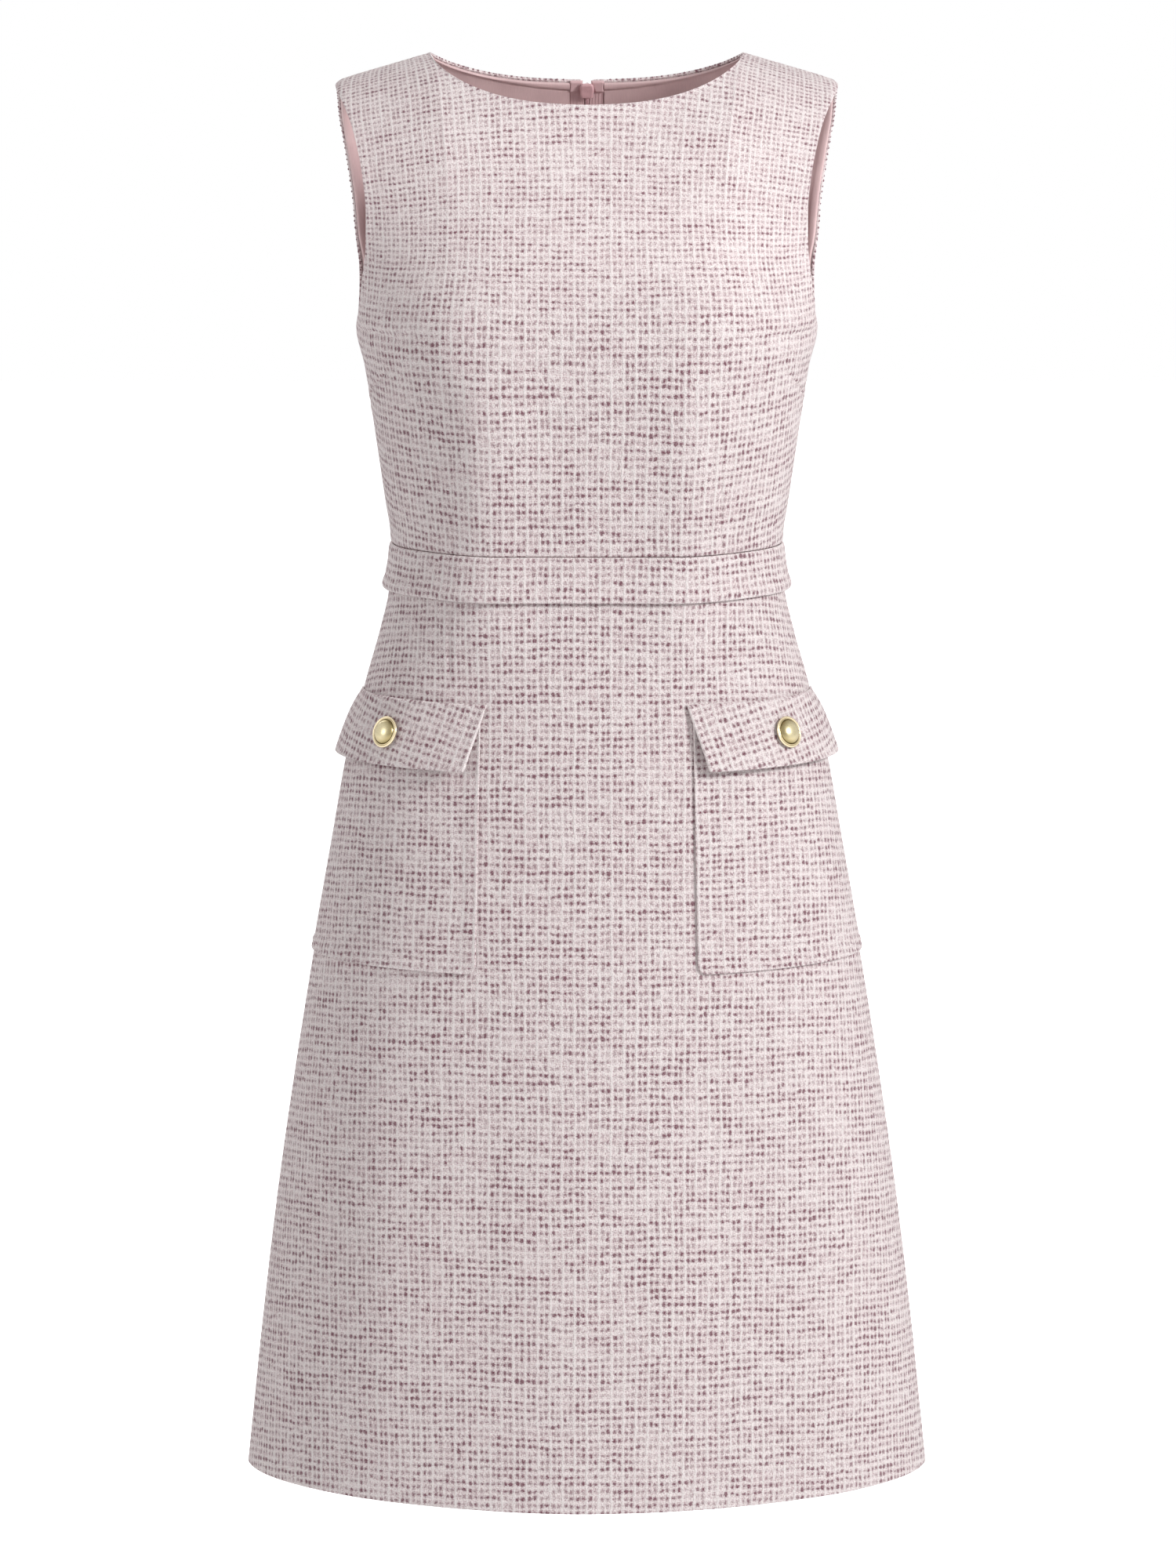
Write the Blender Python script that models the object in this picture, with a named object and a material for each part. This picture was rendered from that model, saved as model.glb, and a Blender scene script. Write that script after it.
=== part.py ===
"""Sleeveless A-line sheath dress in tweed, as it stands when worn: hollow, and open at neck, armholes and hem.

Blender 4.5, metres, +Z up. The wearer faces -Y, and left and right are the wearer's: left is +X.
The origin is midway between the two points where the shoulder seams meet the neckline.
Tables and sizes are in millimetres, and MM turns them into metres where a mesh is made.
"""

import math

import bmesh
import bpy
import numpy as np
from mathutils import Matrix, Vector

MM = 0.001
GAP = 0.3  # between neighbouring pieces

# Cloth thicknesses
TWEED = 1.6
LINING = 1.0
POCKET_CLOTH = 1.0

# Neck, shoulder and armhole
NECK_HALF_WIDTH = 107.4
FRONT_NECK_DROP = 31.7
BACK_NECK_DROP = 21.5
SHOULDER_SLOPE = 0.292
SHOULDER_TIP_X = 172.8
SHOULDER_TIP_Z = -22.5
SHOULDER_TIP_TURN = 20  # how late along the seam its outer end turns down
SHOULDER_ROLL = 75.0  # height over which front and back round over into the shoulder seam
UNDERARM_Z = -188.5
LINING_INSET = 0.8  # the lining stops this far short of the neck and armhole edges

# Levels of the cross seams
WAIST_Z = -337.8
SKIRT_TOP_Z = -358.0
HEM_Z = -991.0

# Bust: the fullness that the darts leave
BUST_X = 88.0
BUST_Z = -180.0
BUST_FULLNESS = 9.0
BUST_SPREAD_X = 42.0
BUST_SPREAD_UP = 55.0
BUST_SPREAD_DOWN = 42.0

# Front panel: below the bust it stays flat to about here, then turns to the side
TURN_X = 73.0
TURN_FULLNESS = 8.5
TURN_SPREAD = 30.0
TURN_STARTS_Z = -190.0
TURN_FULL_Z = -245.0
TURN_FADES_Z = -365.0
TURN_ENDS_Z = -437.0

# Each row is a level: the height at the side seam or, above the underarm, at the armhole edge.
# edge_x, edge_y: where the panel's side or armhole edge is; centre_y: depth at centre front or back;
# power: how square the section is; fall: how it drops towards the edge (1/power makes a superellipse).
LEVEL_COLUMNS = ("level", "edge_x", "edge_y", "centre_y", "power", "fall")
FRONT_LEVELS = (
    (-22.5, 172.8, 55.0, 62.0, 2.40, 1.00),
    (-34.0, 166.0, 56.0, 66.0, 2.40, 1.00),
    (-47.0, 160.5, 57.0, 71.0, 2.40, 1.00),
    (-60.0, 156.9, 58.0, 76.5, 2.40, 1.00),
    (-80.0, 153.0, 58.0, 84.5, 2.40, 1.00),
    (-105.0, 150.6, 57.0, 94.5, 2.40, 1.00),
    (-130.0, 150.9, 54.0, 103.0, 2.40, 0.95),
    (-150.0, 153.2, 49.0, 108.5, 2.40, 0.80),
    (-165.0, 154.8, 42.0, 111.5, 2.40, 0.65),
    (-176.0, 156.4, 34.0, 113.0, 2.40, 0.54),
    (-184.0, 158.0, 22.0, 113.8, 2.40, 0.47),
    (-188.5, 158.9, 0.0, 114.0, 2.42, 0.413),
    (-215.0, 153.2, 0.0, 113.5, 2.50, 0.40),
    (-243.0, 148.9, 0.0, 110.0, 2.50, 0.40),
    (-275.0, 144.2, 0.0, 104.5, 2.42, 0.413),
    (-305.0, 139.9, 0.0, 98.5, 2.32, 0.431),
    (-338.0, 135.6, 0.0, 93.5, 2.20, 0.455),
    (-371.0, 137.2, 0.0, 96.0, 2.20, 0.455),
    (-395.0, 142.4, 0.0, 99.0, 2.20, 0.455),
    (-437.0, 154.1, 0.0, 104.5, 2.20, 0.455),
    (-485.0, 165.6, 0.0, 111.0, 2.16, 0.463),
    (-541.0, 175.6, 0.0, 118.0, 2.10, 0.476),
    (-622.0, 190.0, 0.0, 127.0, 2.02, 0.495),
    (-697.0, 202.3, 0.0, 134.5, 1.96, 0.510),
    (-786.0, 215.5, 0.0, 143.0, 1.90, 0.526),
    (-876.0, 226.7, 0.0, 151.0, 1.83, 0.546),
    (-991.0, 239.0, 0.0, 160.0, 1.77, 0.565),
)
BACK_LEVELS = (
    (-22.5, 172.8, 51.0, 55.0, 2.60, 1.00),
    (-34.0, 172.4, 52.0, 60.0, 2.60, 1.00),
    (-47.0, 171.6, 53.0, 65.5, 2.60, 1.00),
    (-60.0, 169.6, 54.0, 70.5, 2.60, 1.00),
    (-80.0, 166.5, 54.0, 77.0, 2.60, 1.00),
    (-105.0, 163.0, 53.0, 84.0, 2.50, 1.00),
    (-130.0, 161.0, 50.0, 89.5, 2.50, 0.95),
    (-150.0, 158.3, 46.0, 92.5, 2.50, 0.80),
    (-165.0, 157.8, 40.0, 94.0, 2.45, 0.65),
    (-176.0, 158.0, 32.0, 94.8, 2.40, 0.54),
    (-184.0, 158.4, 20.0, 95.0, 2.40, 0.47),
    (-188.5, 158.9, 0.0, 95.0, 2.40, 0.417),
    (-215.0, 153.2, 0.0, 94.0, 2.35, 0.426),
    (-243.0, 148.9, 0.0, 91.0, 2.30, 0.435),
    (-275.0, 144.2, 0.0, 86.0, 2.25, 0.444),
    (-305.0, 139.9, 0.0, 80.5, 2.20, 0.455),
    (-338.0, 135.6, 0.0, 75.5, 2.15, 0.465),
    (-371.0, 137.2, 0.0, 78.5, 2.15, 0.465),
    (-395.0, 142.4, 0.0, 85.0, 2.15, 0.465),
    (-437.0, 154.1, 0.0, 97.0, 2.20, 0.455),
    (-485.0, 165.6, 0.0, 108.0, 2.20, 0.455),
    (-541.0, 175.6, 0.0, 118.0, 2.15, 0.465),
    (-622.0, 190.0, 0.0, 127.5, 2.08, 0.481),
    (-697.0, 202.3, 0.0, 134.5, 2.02, 0.495),
    (-786.0, 215.5, 0.0, 141.5, 1.95, 0.513),
    (-876.0, 226.7, 0.0, 148.0, 1.90, 0.526),
    (-991.0, 239.0, 0.0, 155.5, 1.85, 0.541),
)

# Rows of the meshes, by level, from the top down
YOKE_ROWS = (-22.5, -25.1, -32.5, -49.0, -71.5, -97.0, -125.0, -152.0, -172.0, -183.5)
BODICE_ROWS = YOKE_ROWS + (-188.5, -213.0, -240.0, -268.0, -302.0, WAIST_Z)
SKIRT_BACK_ROWS = (SKIRT_TOP_Z, -371.0, -400.0, -437.0, -485.0, -545.0, -622.0, -715.0, -810.0, -900.0, HEM_Z)

# Columns of the meshes, counted on one side of the centre line
NECK_COLUMNS = 4
NECK_COLUMN_CROWDING = 1.35  # over 1 crowds the neck's columns towards the shoulder seam
SHOULDER_COLUMNS = 5
SKIRT_CENTRE_COLUMNS = 3
SKIRT_SIDE_COLUMNS = 6

# Waistband: a doubled strip sewn to the bodice at its top, whose lower edge laps over the skirt
BAND_COLUMNS = ("level", "outside", "inside")
BAND_ROWS = (
    (WAIST_Z - GAP, 0.8, -1.6),
    (-342.5, 1.6, -1.6),
    (-349.0, 2.0, -1.5),
    (-355.0, 2.6, 0.45),
    (-366.0, 3.5, 0.5),
    (-369.3, 3.0, 0.8),
)

# Pockets
FLAP_TOP_Z = -439.0
PATCH_TOP_Z = -447.0
FLAP_BOTTOM_Z = -485.0
PATCH_BOTTOM_Z = -622.5
PATCH_INNER_X_TOP = 72.0
PATCH_INNER_X_SLOPE = 0.02  # the patch's inner edge leans out this much per millimetre of drop
FLAP_INNER_TOP_X = 67.8
FLAP_INNER_BOTTOM_X = 80.6
FLAP_COLUMNS = 6
FLAP_ROWS = (
    (FLAP_TOP_Z, 2.6, 0.45),
    (-442.0, 3.3, 0.9),
    (-447.0, 4.1, 1.9),
    (-466.0, 7.2, 4.8),
    (FLAP_BOTTOM_Z, 9.6, 7.2),
)
SKIRT_FRONT_ROWS = SKIRT_BACK_ROWS[:4] + (PATCH_TOP_Z,) + SKIRT_BACK_ROWS[4:6] + (
    PATCH_BOTTOM_Z,
) + SKIRT_BACK_ROWS[7:]

# Flap button: a domed metal button on a shank, at the outer end of each flap
BUTTON_X = 132.5
BUTTON_Z = -463.0
BUTTON_SEGMENTS = 16
BUTTON_LIFT = 1.2  # height of the shank, which lets a flat button clear the curved flap
BUTTON_PROFILE = (  # (radius, height above the flap)
    (2.6, -BUTTON_LIFT),
    (2.6, 0.0),
    (8.6, 0.0),
    (10.9, 0.5),
    (11.1, 1.6),
    (10.4, 2.2),
    (9.7, 1.9),
    (8.8, 2.9),
    (6.2, 4.7),
    (3.2, 5.6),
)
BUTTON_HEIGHT = 5.9

# Centre back zip
ZIP_BOTTOM_Z = -545.0
ZIP_ROWS = BODICE_ROWS + (-349.0, SKIRT_TOP_Z, -371.0, -400.0, -437.0, -485.0, ZIP_BOTTOM_Z)
TAPE_INNER_X = 2.3
TAPE_OUTER_X = 12.0
TAPE_FOLD = 1.2  # extra thickness where the tape's end is turned over at the neck
TAPE_FOLD_ROWS = 2
LINING_BACK_X = TAPE_OUTER_X + GAP
CHAIN_HALF_WIDTH = 2.0
CHAIN_THICKNESS = 1.8
CHAIN_TOP_Z = -35.2
CENTRE_BACK_X = ((-21.5, 4.3), (-24.2, 3.8), (-31.7, 1.25), (-48.2, 0.25), (HEM_Z, 0.25))
TAPE_EDGE_X = ((-21.5, 4.3), (-24.2, 4.0), (-31.7, TAPE_INNER_X), (HEM_Z, TAPE_INNER_X))

# Zip slider and its pull, in a frame set on the centre back seam: x across, t down it, n out of it
SLIDER_Z = -27.3
SLIDER_TOP_WIDTH = 10.4
SLIDER_BOTTOM_WIDTH = 6.8
SLIDER_LENGTH = 11.8
SLIDER_INSIDE = (-7.7, -4.6)
SLIDER_NECK = (1.1, -1.2, 5.2)  # width of the web through the seam, and where it starts and ends down the seam
SLIDER_PLATE = (6.0, -1.6, 5.8)  # the same for the plate outside
PLATE_OUTSIDE = (0.5, 1.5)
BAIL_WIDTH = 2.0
BAIL_INNER_RADIUS = 1.2
BAIL_OUTER_RADIUS = 2.2
HINGE_OUT = 2.45  # how far the hinge axis stands off the seam
HINGE_DOWN = 1.6  # how far below the slider's middle the pull hangs
PULL_LENGTH = 22.0
PULL_THICKNESS = 1.1
PULL_EYE = (3.2, 0.6, 4.2)  # width of the eye, and where it starts and ends below the axis
PULL_OUTLINE = ((-0.55, 2.3), (1.5, 2.9), (5.0, 2.9), (9.0, 2.2), (16.0, 3.3), (19.5, 3.0), (21.3, 1.8))

MATERIALS = {
    "tweed": ((0.80, 0.70, 0.72), 0.95, 0.0),
    "lining": ((0.45, 0.28, 0.31), 0.45, 0.0),
    "zip": ((0.42, 0.25, 0.28), 0.60, 0.0),
    "gold": ((0.85, 0.68, 0.36), 0.25, 1.0),
}


def clear_scene():
    for obj in list(bpy.data.objects):
        bpy.data.objects.remove(obj)


def make_material(name):
    colour, roughness, metallic = MATERIALS[name]
    material = bpy.data.materials.get(name) or bpy.data.materials.new(name)
    material.use_nodes = True
    shader = material.node_tree.nodes["Principled BSDF"]
    shader.inputs["Base Color"].default_value = (*colour, 1.0)
    shader.inputs["Roughness"].default_value = roughness
    shader.inputs["Metallic"].default_value = metallic
    return material


# Curves through the tables


def monotone_slopes(xs, ys):
    """Slopes that keep a cubic through the points free of overshoot."""
    steps = np.diff(xs)
    rates = np.diff(ys) / steps
    slopes = np.empty(len(xs))
    slopes[0], slopes[-1] = rates[0], rates[-1]
    for i in range(1, len(xs) - 1):
        before, after = rates[i - 1], rates[i]
        if before * after <= 0:
            slopes[i] = 0.0
            continue
        first, second = 2 * steps[i] + steps[i - 1], steps[i] + 2 * steps[i - 1]
        slopes[i] = (first + second) / (first / before + second / after)
    return slopes


class Curve:
    """A smooth curve through (x, y) pairs, level beyond its ends."""

    def __init__(self, pairs):
        ordered = np.array(sorted(pairs))
        self.xs, self.ys = ordered[:, 0], ordered[:, 1]
        self.slopes = monotone_slopes(self.xs, self.ys)

    def __call__(self, x):
        x = min(max(x, self.xs[0]), self.xs[-1])
        i = min(int(np.searchsorted(self.xs, x, side="right")) - 1, len(self.xs) - 2)
        width = self.xs[i + 1] - self.xs[i]
        u = (x - self.xs[i]) / width
        return (
            (1 + 2 * u) * (1 - u) ** 2 * self.ys[i]
            + u * (1 - u) ** 2 * width * self.slopes[i]
            + u * u * (3 - 2 * u) * self.ys[i + 1]
            + u * u * (u - 1) * width * self.slopes[i + 1]
        )


def columns_of(rows, names):
    return {name: Curve([(row[0], row[i]) for row in rows]) for i, name in enumerate(names) if i}


FRONT, BACK = -1, 1  # the sign of y
LEVELS = {FRONT: columns_of(FRONT_LEVELS, LEVEL_COLUMNS), BACK: columns_of(BACK_LEVELS, LEVEL_COLUMNS)}
NECK_DROP = {FRONT: (FRONT_NECK_DROP, 2.5, 1.3), BACK: (BACK_NECK_DROP, 2.5, 1.3)}


def shoulder_line(x):
    """Height of the shoulder seam, and of its line carried on towards the neck."""
    seam_width = SHOULDER_TIP_X - NECK_HALF_WIDTH
    along = min(1.0, max(0.0, (x - NECK_HALF_WIDTH) / seam_width))
    tip_drop = SHOULDER_TIP_Z + SHOULDER_SLOPE * seam_width
    return -SHOULDER_SLOPE * (x - NECK_HALF_WIDTH) + tip_drop * along**SHOULDER_TIP_TURN


def neck_share(inset=0.0):
    """The share of a panel's width at which its neckline meets its shoulder seam."""
    return math.asin((NECK_HALF_WIDTH + inset) / (SHOULDER_TIP_X - inset)) * 2 / math.pi


def top_edge(side, x, inset=0.0):
    """Height of the neckline, or of the shoulder seam, at x."""
    half_width = NECK_HALF_WIDTH + inset
    if x >= half_width:
        return shoulder_line(x)
    drop, power, root = NECK_DROP[side]
    return shoulder_line(half_width) - (drop + inset) * (1 - (x / half_width) ** power) ** (1 / root)


def smooth(x, start, end):
    """0 before the start, 1 after the end, and an even step between them."""
    u = min(1.0, max(0.0, (x - start) / (end - start)))
    return u * u * (3 - 2 * u)


def humps(x, middle, spread):
    """Two equal humps, one on each side of the centre line."""
    return math.exp(-(((x - middle) / spread) ** 2)) + math.exp(-(((x + middle) / spread) ** 2))


def dress_point(side, share, level, inset=0.0):
    """A point on the outside of the dress: share runs from 0 at the centre line to 1 at the side."""
    at = LEVELS[side]
    spread = math.sin(share * math.pi / 2)
    rise = max(0.0, (level - UNDERARM_Z) / (SHOULDER_TIP_Z - UNDERARM_Z))
    x = spread * (at["edge_x"](level) - inset * min(1.0, 6 * rise))
    top = top_edge(side, spread * (SHOULDER_TIP_X - inset), inset)
    z = level + (top - SHOULDER_TIP_Z) * rise**1.5
    edge_y = at["edge_y"](level)
    crown = max(0.0, 1 - spread ** at["power"](level)) ** at["fall"](level)
    depth = edge_y + (at["centre_y"](level) - edge_y) * crown
    below_shoulder = min(1.0, max(0.0, shoulder_line(x) - z) / SHOULDER_ROLL)
    depth *= math.sqrt(1 - (1 - below_shoulder) ** 2)
    if side == FRONT:
        reach = BUST_SPREAD_UP if z > BUST_Z else BUST_SPREAD_DOWN
        depth += BUST_FULLNESS * humps(x, BUST_X, BUST_SPREAD_X) * math.exp(-(((z - BUST_Z) / reach) ** 2))
        turn = smooth(z, TURN_STARTS_Z, TURN_FULL_Z) * smooth(z, TURN_ENDS_Z, TURN_FADES_Z)
        depth += TURN_FULLNESS * turn * humps(x, TURN_X, TURN_SPREAD)
    return np.array((x, side * depth, z))


def unit(vector):
    return vector / np.linalg.norm(vector)


def dress_normal(side, share, level, inset=0.0):
    """The outward direction, kept in the plane of a seam along that seam."""
    share_step, level_step = 0.004, 0.3
    across = dress_point(side, min(share + share_step, 1.0), level, inset) - dress_point(
        side, max(share - share_step, 0.0), level, inset
    )
    up = dress_point(side, share, min(level + level_step, SHOULDER_TIP_Z), inset) - dress_point(
        side, share, level - level_step, inset
    )
    normal = np.cross(up, across) * side
    on_side_seam = share >= 1.0 and level <= UNDERARM_Z
    on_shoulder_seam = level >= SHOULDER_TIP_Z and share >= neck_share(inset) - 1e-6
    if on_side_seam or on_shoulder_seam:
        normal[1] = 0.0
    if share <= 0.0:
        normal[0] = 0.0
    return unit(normal)


def offset_point(side, share, level, offset, inset=0.0):
    """A point at a distance outside (+) or inside (-) the dress's surface, short of the seam at y = 0."""
    point = dress_point(side, share, level, inset) + offset * dress_normal(side, share, level, inset)
    point[1] = side * max(side * point[1], GAP / 2)
    return point


def share_at(side, x, level):
    """The share of the width at which a row passes x."""
    return math.asin(min(1.0, x / LEVELS[side]["edge_x"](level))) * 2 / math.pi


# Meshes


def close_wall(outer, inner, turned):
    """Triangles of a wall between two grids of points; turned says, by column, which diagonal splits a square."""
    rows, columns = len(outer), len(outer[0])
    vertices = [point for grid in (outer, inner) for row in grid for point in row]
    inside = rows * columns
    faces = []

    def square(a, b, c, d, turn=False):
        faces.extend(((a, b, d), (b, c, d)) if turn else ((a, b, c), (a, c, d)))

    for i in range(rows - 1):
        for j in range(columns - 1):
            a, b = i * columns + j, i * columns + j + 1
            c, d = b + columns, a + columns
            square(a, b, c, d, turned[j])
            square(a + inside, b + inside, c + inside, d + inside, turned[j])
    loop = [(0, j) for j in range(columns)] + [(i, columns - 1) for i in range(1, rows)]
    loop += [(rows - 1, j) for j in range(columns - 2, -1, -1)] + [(i, 0) for i in range(rows - 2, 0, -1)]
    rim = [i * columns + j for i, j in loop]
    for a, b in zip(rim, rim[1:] + rim[:1]):
        square(a, b, b + inside, a + inside)
    return vertices, faces


def add_object(name, vertices, faces, material, smooth_angle=None):
    mesh = bpy.data.meshes.new(name)
    mesh.from_pydata([tuple(float(c) * MM for c in v) for v in vertices], [], faces)
    shape = bmesh.new()
    shape.from_mesh(mesh)
    bmesh.ops.recalc_face_normals(shape, faces=shape.faces)
    if shape.calc_volume(signed=True) < 0:
        bmesh.ops.reverse_faces(shape, faces=shape.faces)
    shape.to_mesh(mesh)
    shape.free()
    mesh.materials.append(make_material(material))
    if smooth_angle is not None:
        mesh.shade_smooth()
        mesh.set_sharp_from_angle(angle=math.radians(smooth_angle))
    obj = bpy.data.objects.new(name, mesh)
    bpy.context.scene.collection.objects.link(obj)
    return obj


def mirrored(grid):
    return [[point * np.array((-1, 1, 1)) for point in row] for row in grid]


def across(half):
    """A grid over both halves of a front, from one that runs from the centre line to one side."""
    flipped = mirrored(half)
    return [left[:0:-1] + right for left, right in zip(flipped, half)]


def add_front(name, outer, inner, material):
    columns = len(outer[0]) - 1
    turned = [True] * columns + [False] * columns
    add_object(name, *close_wall(across(outer), across(inner), turned), material)


def add_pair(name, outer, inner, material):
    """The wearer's left piece, at +X, and its mirror image."""
    turned = [False] * (len(outer[0]) - 1)
    add_object(f"{name}_left", *close_wall(outer, inner, turned), material)
    add_object(f"{name}_right", *close_wall(mirrored(outer), mirrored(inner), turned), material)


def bodice_shares(inset=0.0):
    corner = neck_share(inset)
    inner = corner * (1 - np.linspace(1.0, 0.0, NECK_COLUMNS + 1) ** NECK_COLUMN_CROWDING)
    outer = np.linspace(corner, 1.0, SHOULDER_COLUMNS + 1)[1:]
    return list(inner) + list(outer)


def patch_inner_x(z):
    return PATCH_INNER_X_TOP + PATCH_INNER_X_SLOPE * (FLAP_TOP_Z - z)


def skirt_shares(side, level):
    """Columns of the skirt and the waistband, one of which follows the patch pocket's inner edge."""
    edge = share_at(side, patch_inner_x(level), level)
    inner = np.linspace(0.0, edge, SKIRT_CENTRE_COLUMNS + 1)
    outer = np.linspace(edge, 1.0, SKIRT_SIDE_COLUMNS + 1)[1:]
    return list(inner) + list(outer)


def constant(value):
    return lambda level: value


def grid_of(side, rows, shares_at, offset_at, inset=0.0):
    return [
        [offset_point(side, share, level, offset_at(level), inset) for share in shares_at(level)]
        for level in rows
    ]


def on_first_square(row, x):
    """The point at x on the straight line between a row's first two points."""
    return row[0] + (row[1] - row[0]) * (x - row[0][0]) / (row[1][0] - row[0][0])


def open_at_centre_back(grid, edge_curve):
    """Moves the first column out from the centre line to an edge beside the zip."""
    return [[on_first_square(row, edge_curve(row[0][2]))] + row[1:] for row in grid]


# The pieces


def make_bodice():
    shares = bodice_shares()
    for side, name in ((FRONT, "bodice_front"), (BACK, "bodice_back")):
        outer = grid_of(side, BODICE_ROWS, constant(shares), constant(0.0))
        inner = grid_of(side, BODICE_ROWS, constant(shares), constant(-TWEED))
        if side == FRONT:
            add_front(name, outer, inner, "tweed")
            continue
        edge = Curve(CENTRE_BACK_X)
        add_pair(name, open_at_centre_back(outer, edge), open_at_centre_back(inner, edge), "tweed")


def make_lining():
    shares = bodice_shares(LINING_INSET)
    outside = -TWEED - GAP
    for side, name in ((FRONT, "lining_front"), (BACK, "lining_back")):
        outer = grid_of(side, BODICE_ROWS, constant(shares), constant(outside), LINING_INSET)
        inner = grid_of(side, BODICE_ROWS, constant(shares), constant(outside - LINING), LINING_INSET)
        if side == FRONT:
            add_front(name, outer, inner, "lining")
            continue
        edge = constant(LINING_BACK_X)
        add_pair(name, open_at_centre_back(outer, edge), open_at_centre_back(inner, edge), "lining")


def make_waistband():
    levels = [row[0] for row in BAND_ROWS]
    at = columns_of(BAND_ROWS, BAND_COLUMNS)
    for side, name in ((FRONT, "waistband_front"), (BACK, "waistband_back")):
        outer, inner = (
            grid_of(side, levels, lambda level: skirt_shares(side, level), at[which]) for which in BAND_COLUMNS[1:]
        )
        if side == FRONT:
            add_front(name, outer, inner, "tweed")
            continue
        edge = Curve(CENTRE_BACK_X)
        add_pair(name, open_at_centre_back(outer, edge), open_at_centre_back(inner, edge), "tweed")


def make_skirt():
    for side, name, rows in ((FRONT, "skirt_front", SKIRT_FRONT_ROWS), (BACK, "skirt_back", SKIRT_BACK_ROWS)):
        outer, inner = (
            grid_of(side, rows, lambda level: skirt_shares(side, level), constant(offset))
            for offset in (0.0, -TWEED)
        )
        if side == FRONT:
            add_front(name, outer, inner, "tweed")
            continue
        edge = Curve(CENTRE_BACK_X)
        add_pair(name, open_at_centre_back(outer, edge), open_at_centre_back(inner, edge), "tweed")


def make_pockets():
    """Patch pockets on the skirt front's own rows and columns, moved out, and the flaps over them."""
    rows = [level for level in SKIRT_FRONT_ROWS if PATCH_BOTTOM_Z <= level <= PATCH_TOP_Z]
    outer, inner = (
        grid_of(FRONT, rows, lambda level: skirt_shares(FRONT, level)[SKIRT_CENTRE_COLUMNS:], constant(offset))
        for offset in (GAP + POCKET_CLOTH, GAP)
    )
    add_pair("pocket_patch", outer, inner, "tweed")

    at = columns_of(FLAP_ROWS, BAND_COLUMNS)

    def flap_shares(level):
        down = (FLAP_TOP_Z - level) / (FLAP_TOP_Z - FLAP_BOTTOM_Z)
        inner_x = FLAP_INNER_TOP_X + (FLAP_INNER_BOTTOM_X - FLAP_INNER_TOP_X) * down
        return np.linspace(share_at(FRONT, inner_x, level), 1.0, FLAP_COLUMNS + 1)

    levels = [row[0] for row in FLAP_ROWS]
    outer, inner = (grid_of(FRONT, levels, flap_shares, at[which]) for which in BAND_COLUMNS[1:])
    add_pair("pocket_flap", outer, inner, "tweed")


def flap_seat(x, z, step=3.0):
    """A point on the outside of a flap, and the direction that it faces."""
    outside = columns_of(FLAP_ROWS, BAND_COLUMNS)["outside"]

    def at(off_x, off_z):
        level = z + off_z
        return offset_point(FRONT, share_at(FRONT, x + off_x, level), level, outside(level))

    facing = unit(np.cross(at(step, 0.0) - at(-step, 0.0), at(0.0, step) - at(0.0, -step)))
    return at(0.0, 0.0), facing


def make_buttons():
    vertices, faces = [], []
    for radius, height in BUTTON_PROFILE:
        for i in range(BUTTON_SEGMENTS):
            turn = 2 * math.pi * i / BUTTON_SEGMENTS
            vertices.append((radius * math.cos(turn), radius * math.sin(turn), height))
    rings = len(BUTTON_PROFILE)
    for ring in range(rings - 1):
        for i in range(BUTTON_SEGMENTS):
            a, b = ring * BUTTON_SEGMENTS + i, ring * BUTTON_SEGMENTS + (i + 1) % BUTTON_SEGMENTS
            faces.append((a, b, b + BUTTON_SEGMENTS, a + BUTTON_SEGMENTS))
    centre, crown = len(vertices), len(vertices) + 1
    vertices += [(0.0, 0.0, -BUTTON_LIFT), (0.0, 0.0, BUTTON_HEIGHT)]
    top = (rings - 1) * BUTTON_SEGMENTS
    for i in range(BUTTON_SEGMENTS):
        following = (i + 1) % BUTTON_SEGMENTS
        faces += [(following, i, centre), (top + i, top + following, crown)]
    seat, facing = flap_seat(BUTTON_X, BUTTON_Z)
    seat += facing * (GAP + BUTTON_LIFT)
    for name, sign in (("flap_button_left", 1), ("flap_button_right", -1)):
        button = add_object(name, vertices, faces, "gold", smooth_angle=40)
        button.location = Vector((sign * seat[0], seat[1], seat[2])) * MM
        outward = Vector((sign * facing[0], facing[1], facing[2]))
        button.rotation_euler = outward.to_track_quat("Z", "Y").to_euler()


def centre_back_row(level, offset):
    """The first two points of the back's row at this level, which its first square lies between."""
    shares = bodice_shares() if level >= WAIST_Z else skirt_shares(BACK, level)
    return [offset_point(BACK, share, level, offset) for share in shares[:2]]


def make_zip_tapes():
    """Tapes in the layer between tweed and lining, each with its end turned over at the neck."""
    edge = Curve(TAPE_EDGE_X)
    outer, inner = [], []
    for i, level in enumerate(ZIP_ROWS):
        fold = TAPE_FOLD if i < TAPE_FOLD_ROWS else 0.0
        for grid, offset in ((outer, -TWEED - GAP), (inner, -TWEED - GAP - LINING - fold)):
            row = centre_back_row(level, offset)
            grid.append([on_first_square(row, x) for x in (edge(level), TAPE_OUTER_X)])
    add_pair("zip_tape", outer, inner, "zip")


def make_zip_chain():
    levels = (CHAIN_TOP_Z,) + tuple(level for level in ZIP_ROWS if level < CHAIN_TOP_Z)
    outer, inner = [], []
    for level in levels:
        for grid, offset in ((outer, -TWEED - GAP), (inner, -TWEED - GAP - CHAIN_THICKNESS)):
            edge = on_first_square(centre_back_row(level, offset), CHAIN_HALF_WIDTH)
            grid.append([edge * np.array((-1, 1, 1)), edge])
    add_object("zip_chain", *close_wall(outer, inner, [False]), "zip")


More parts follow.
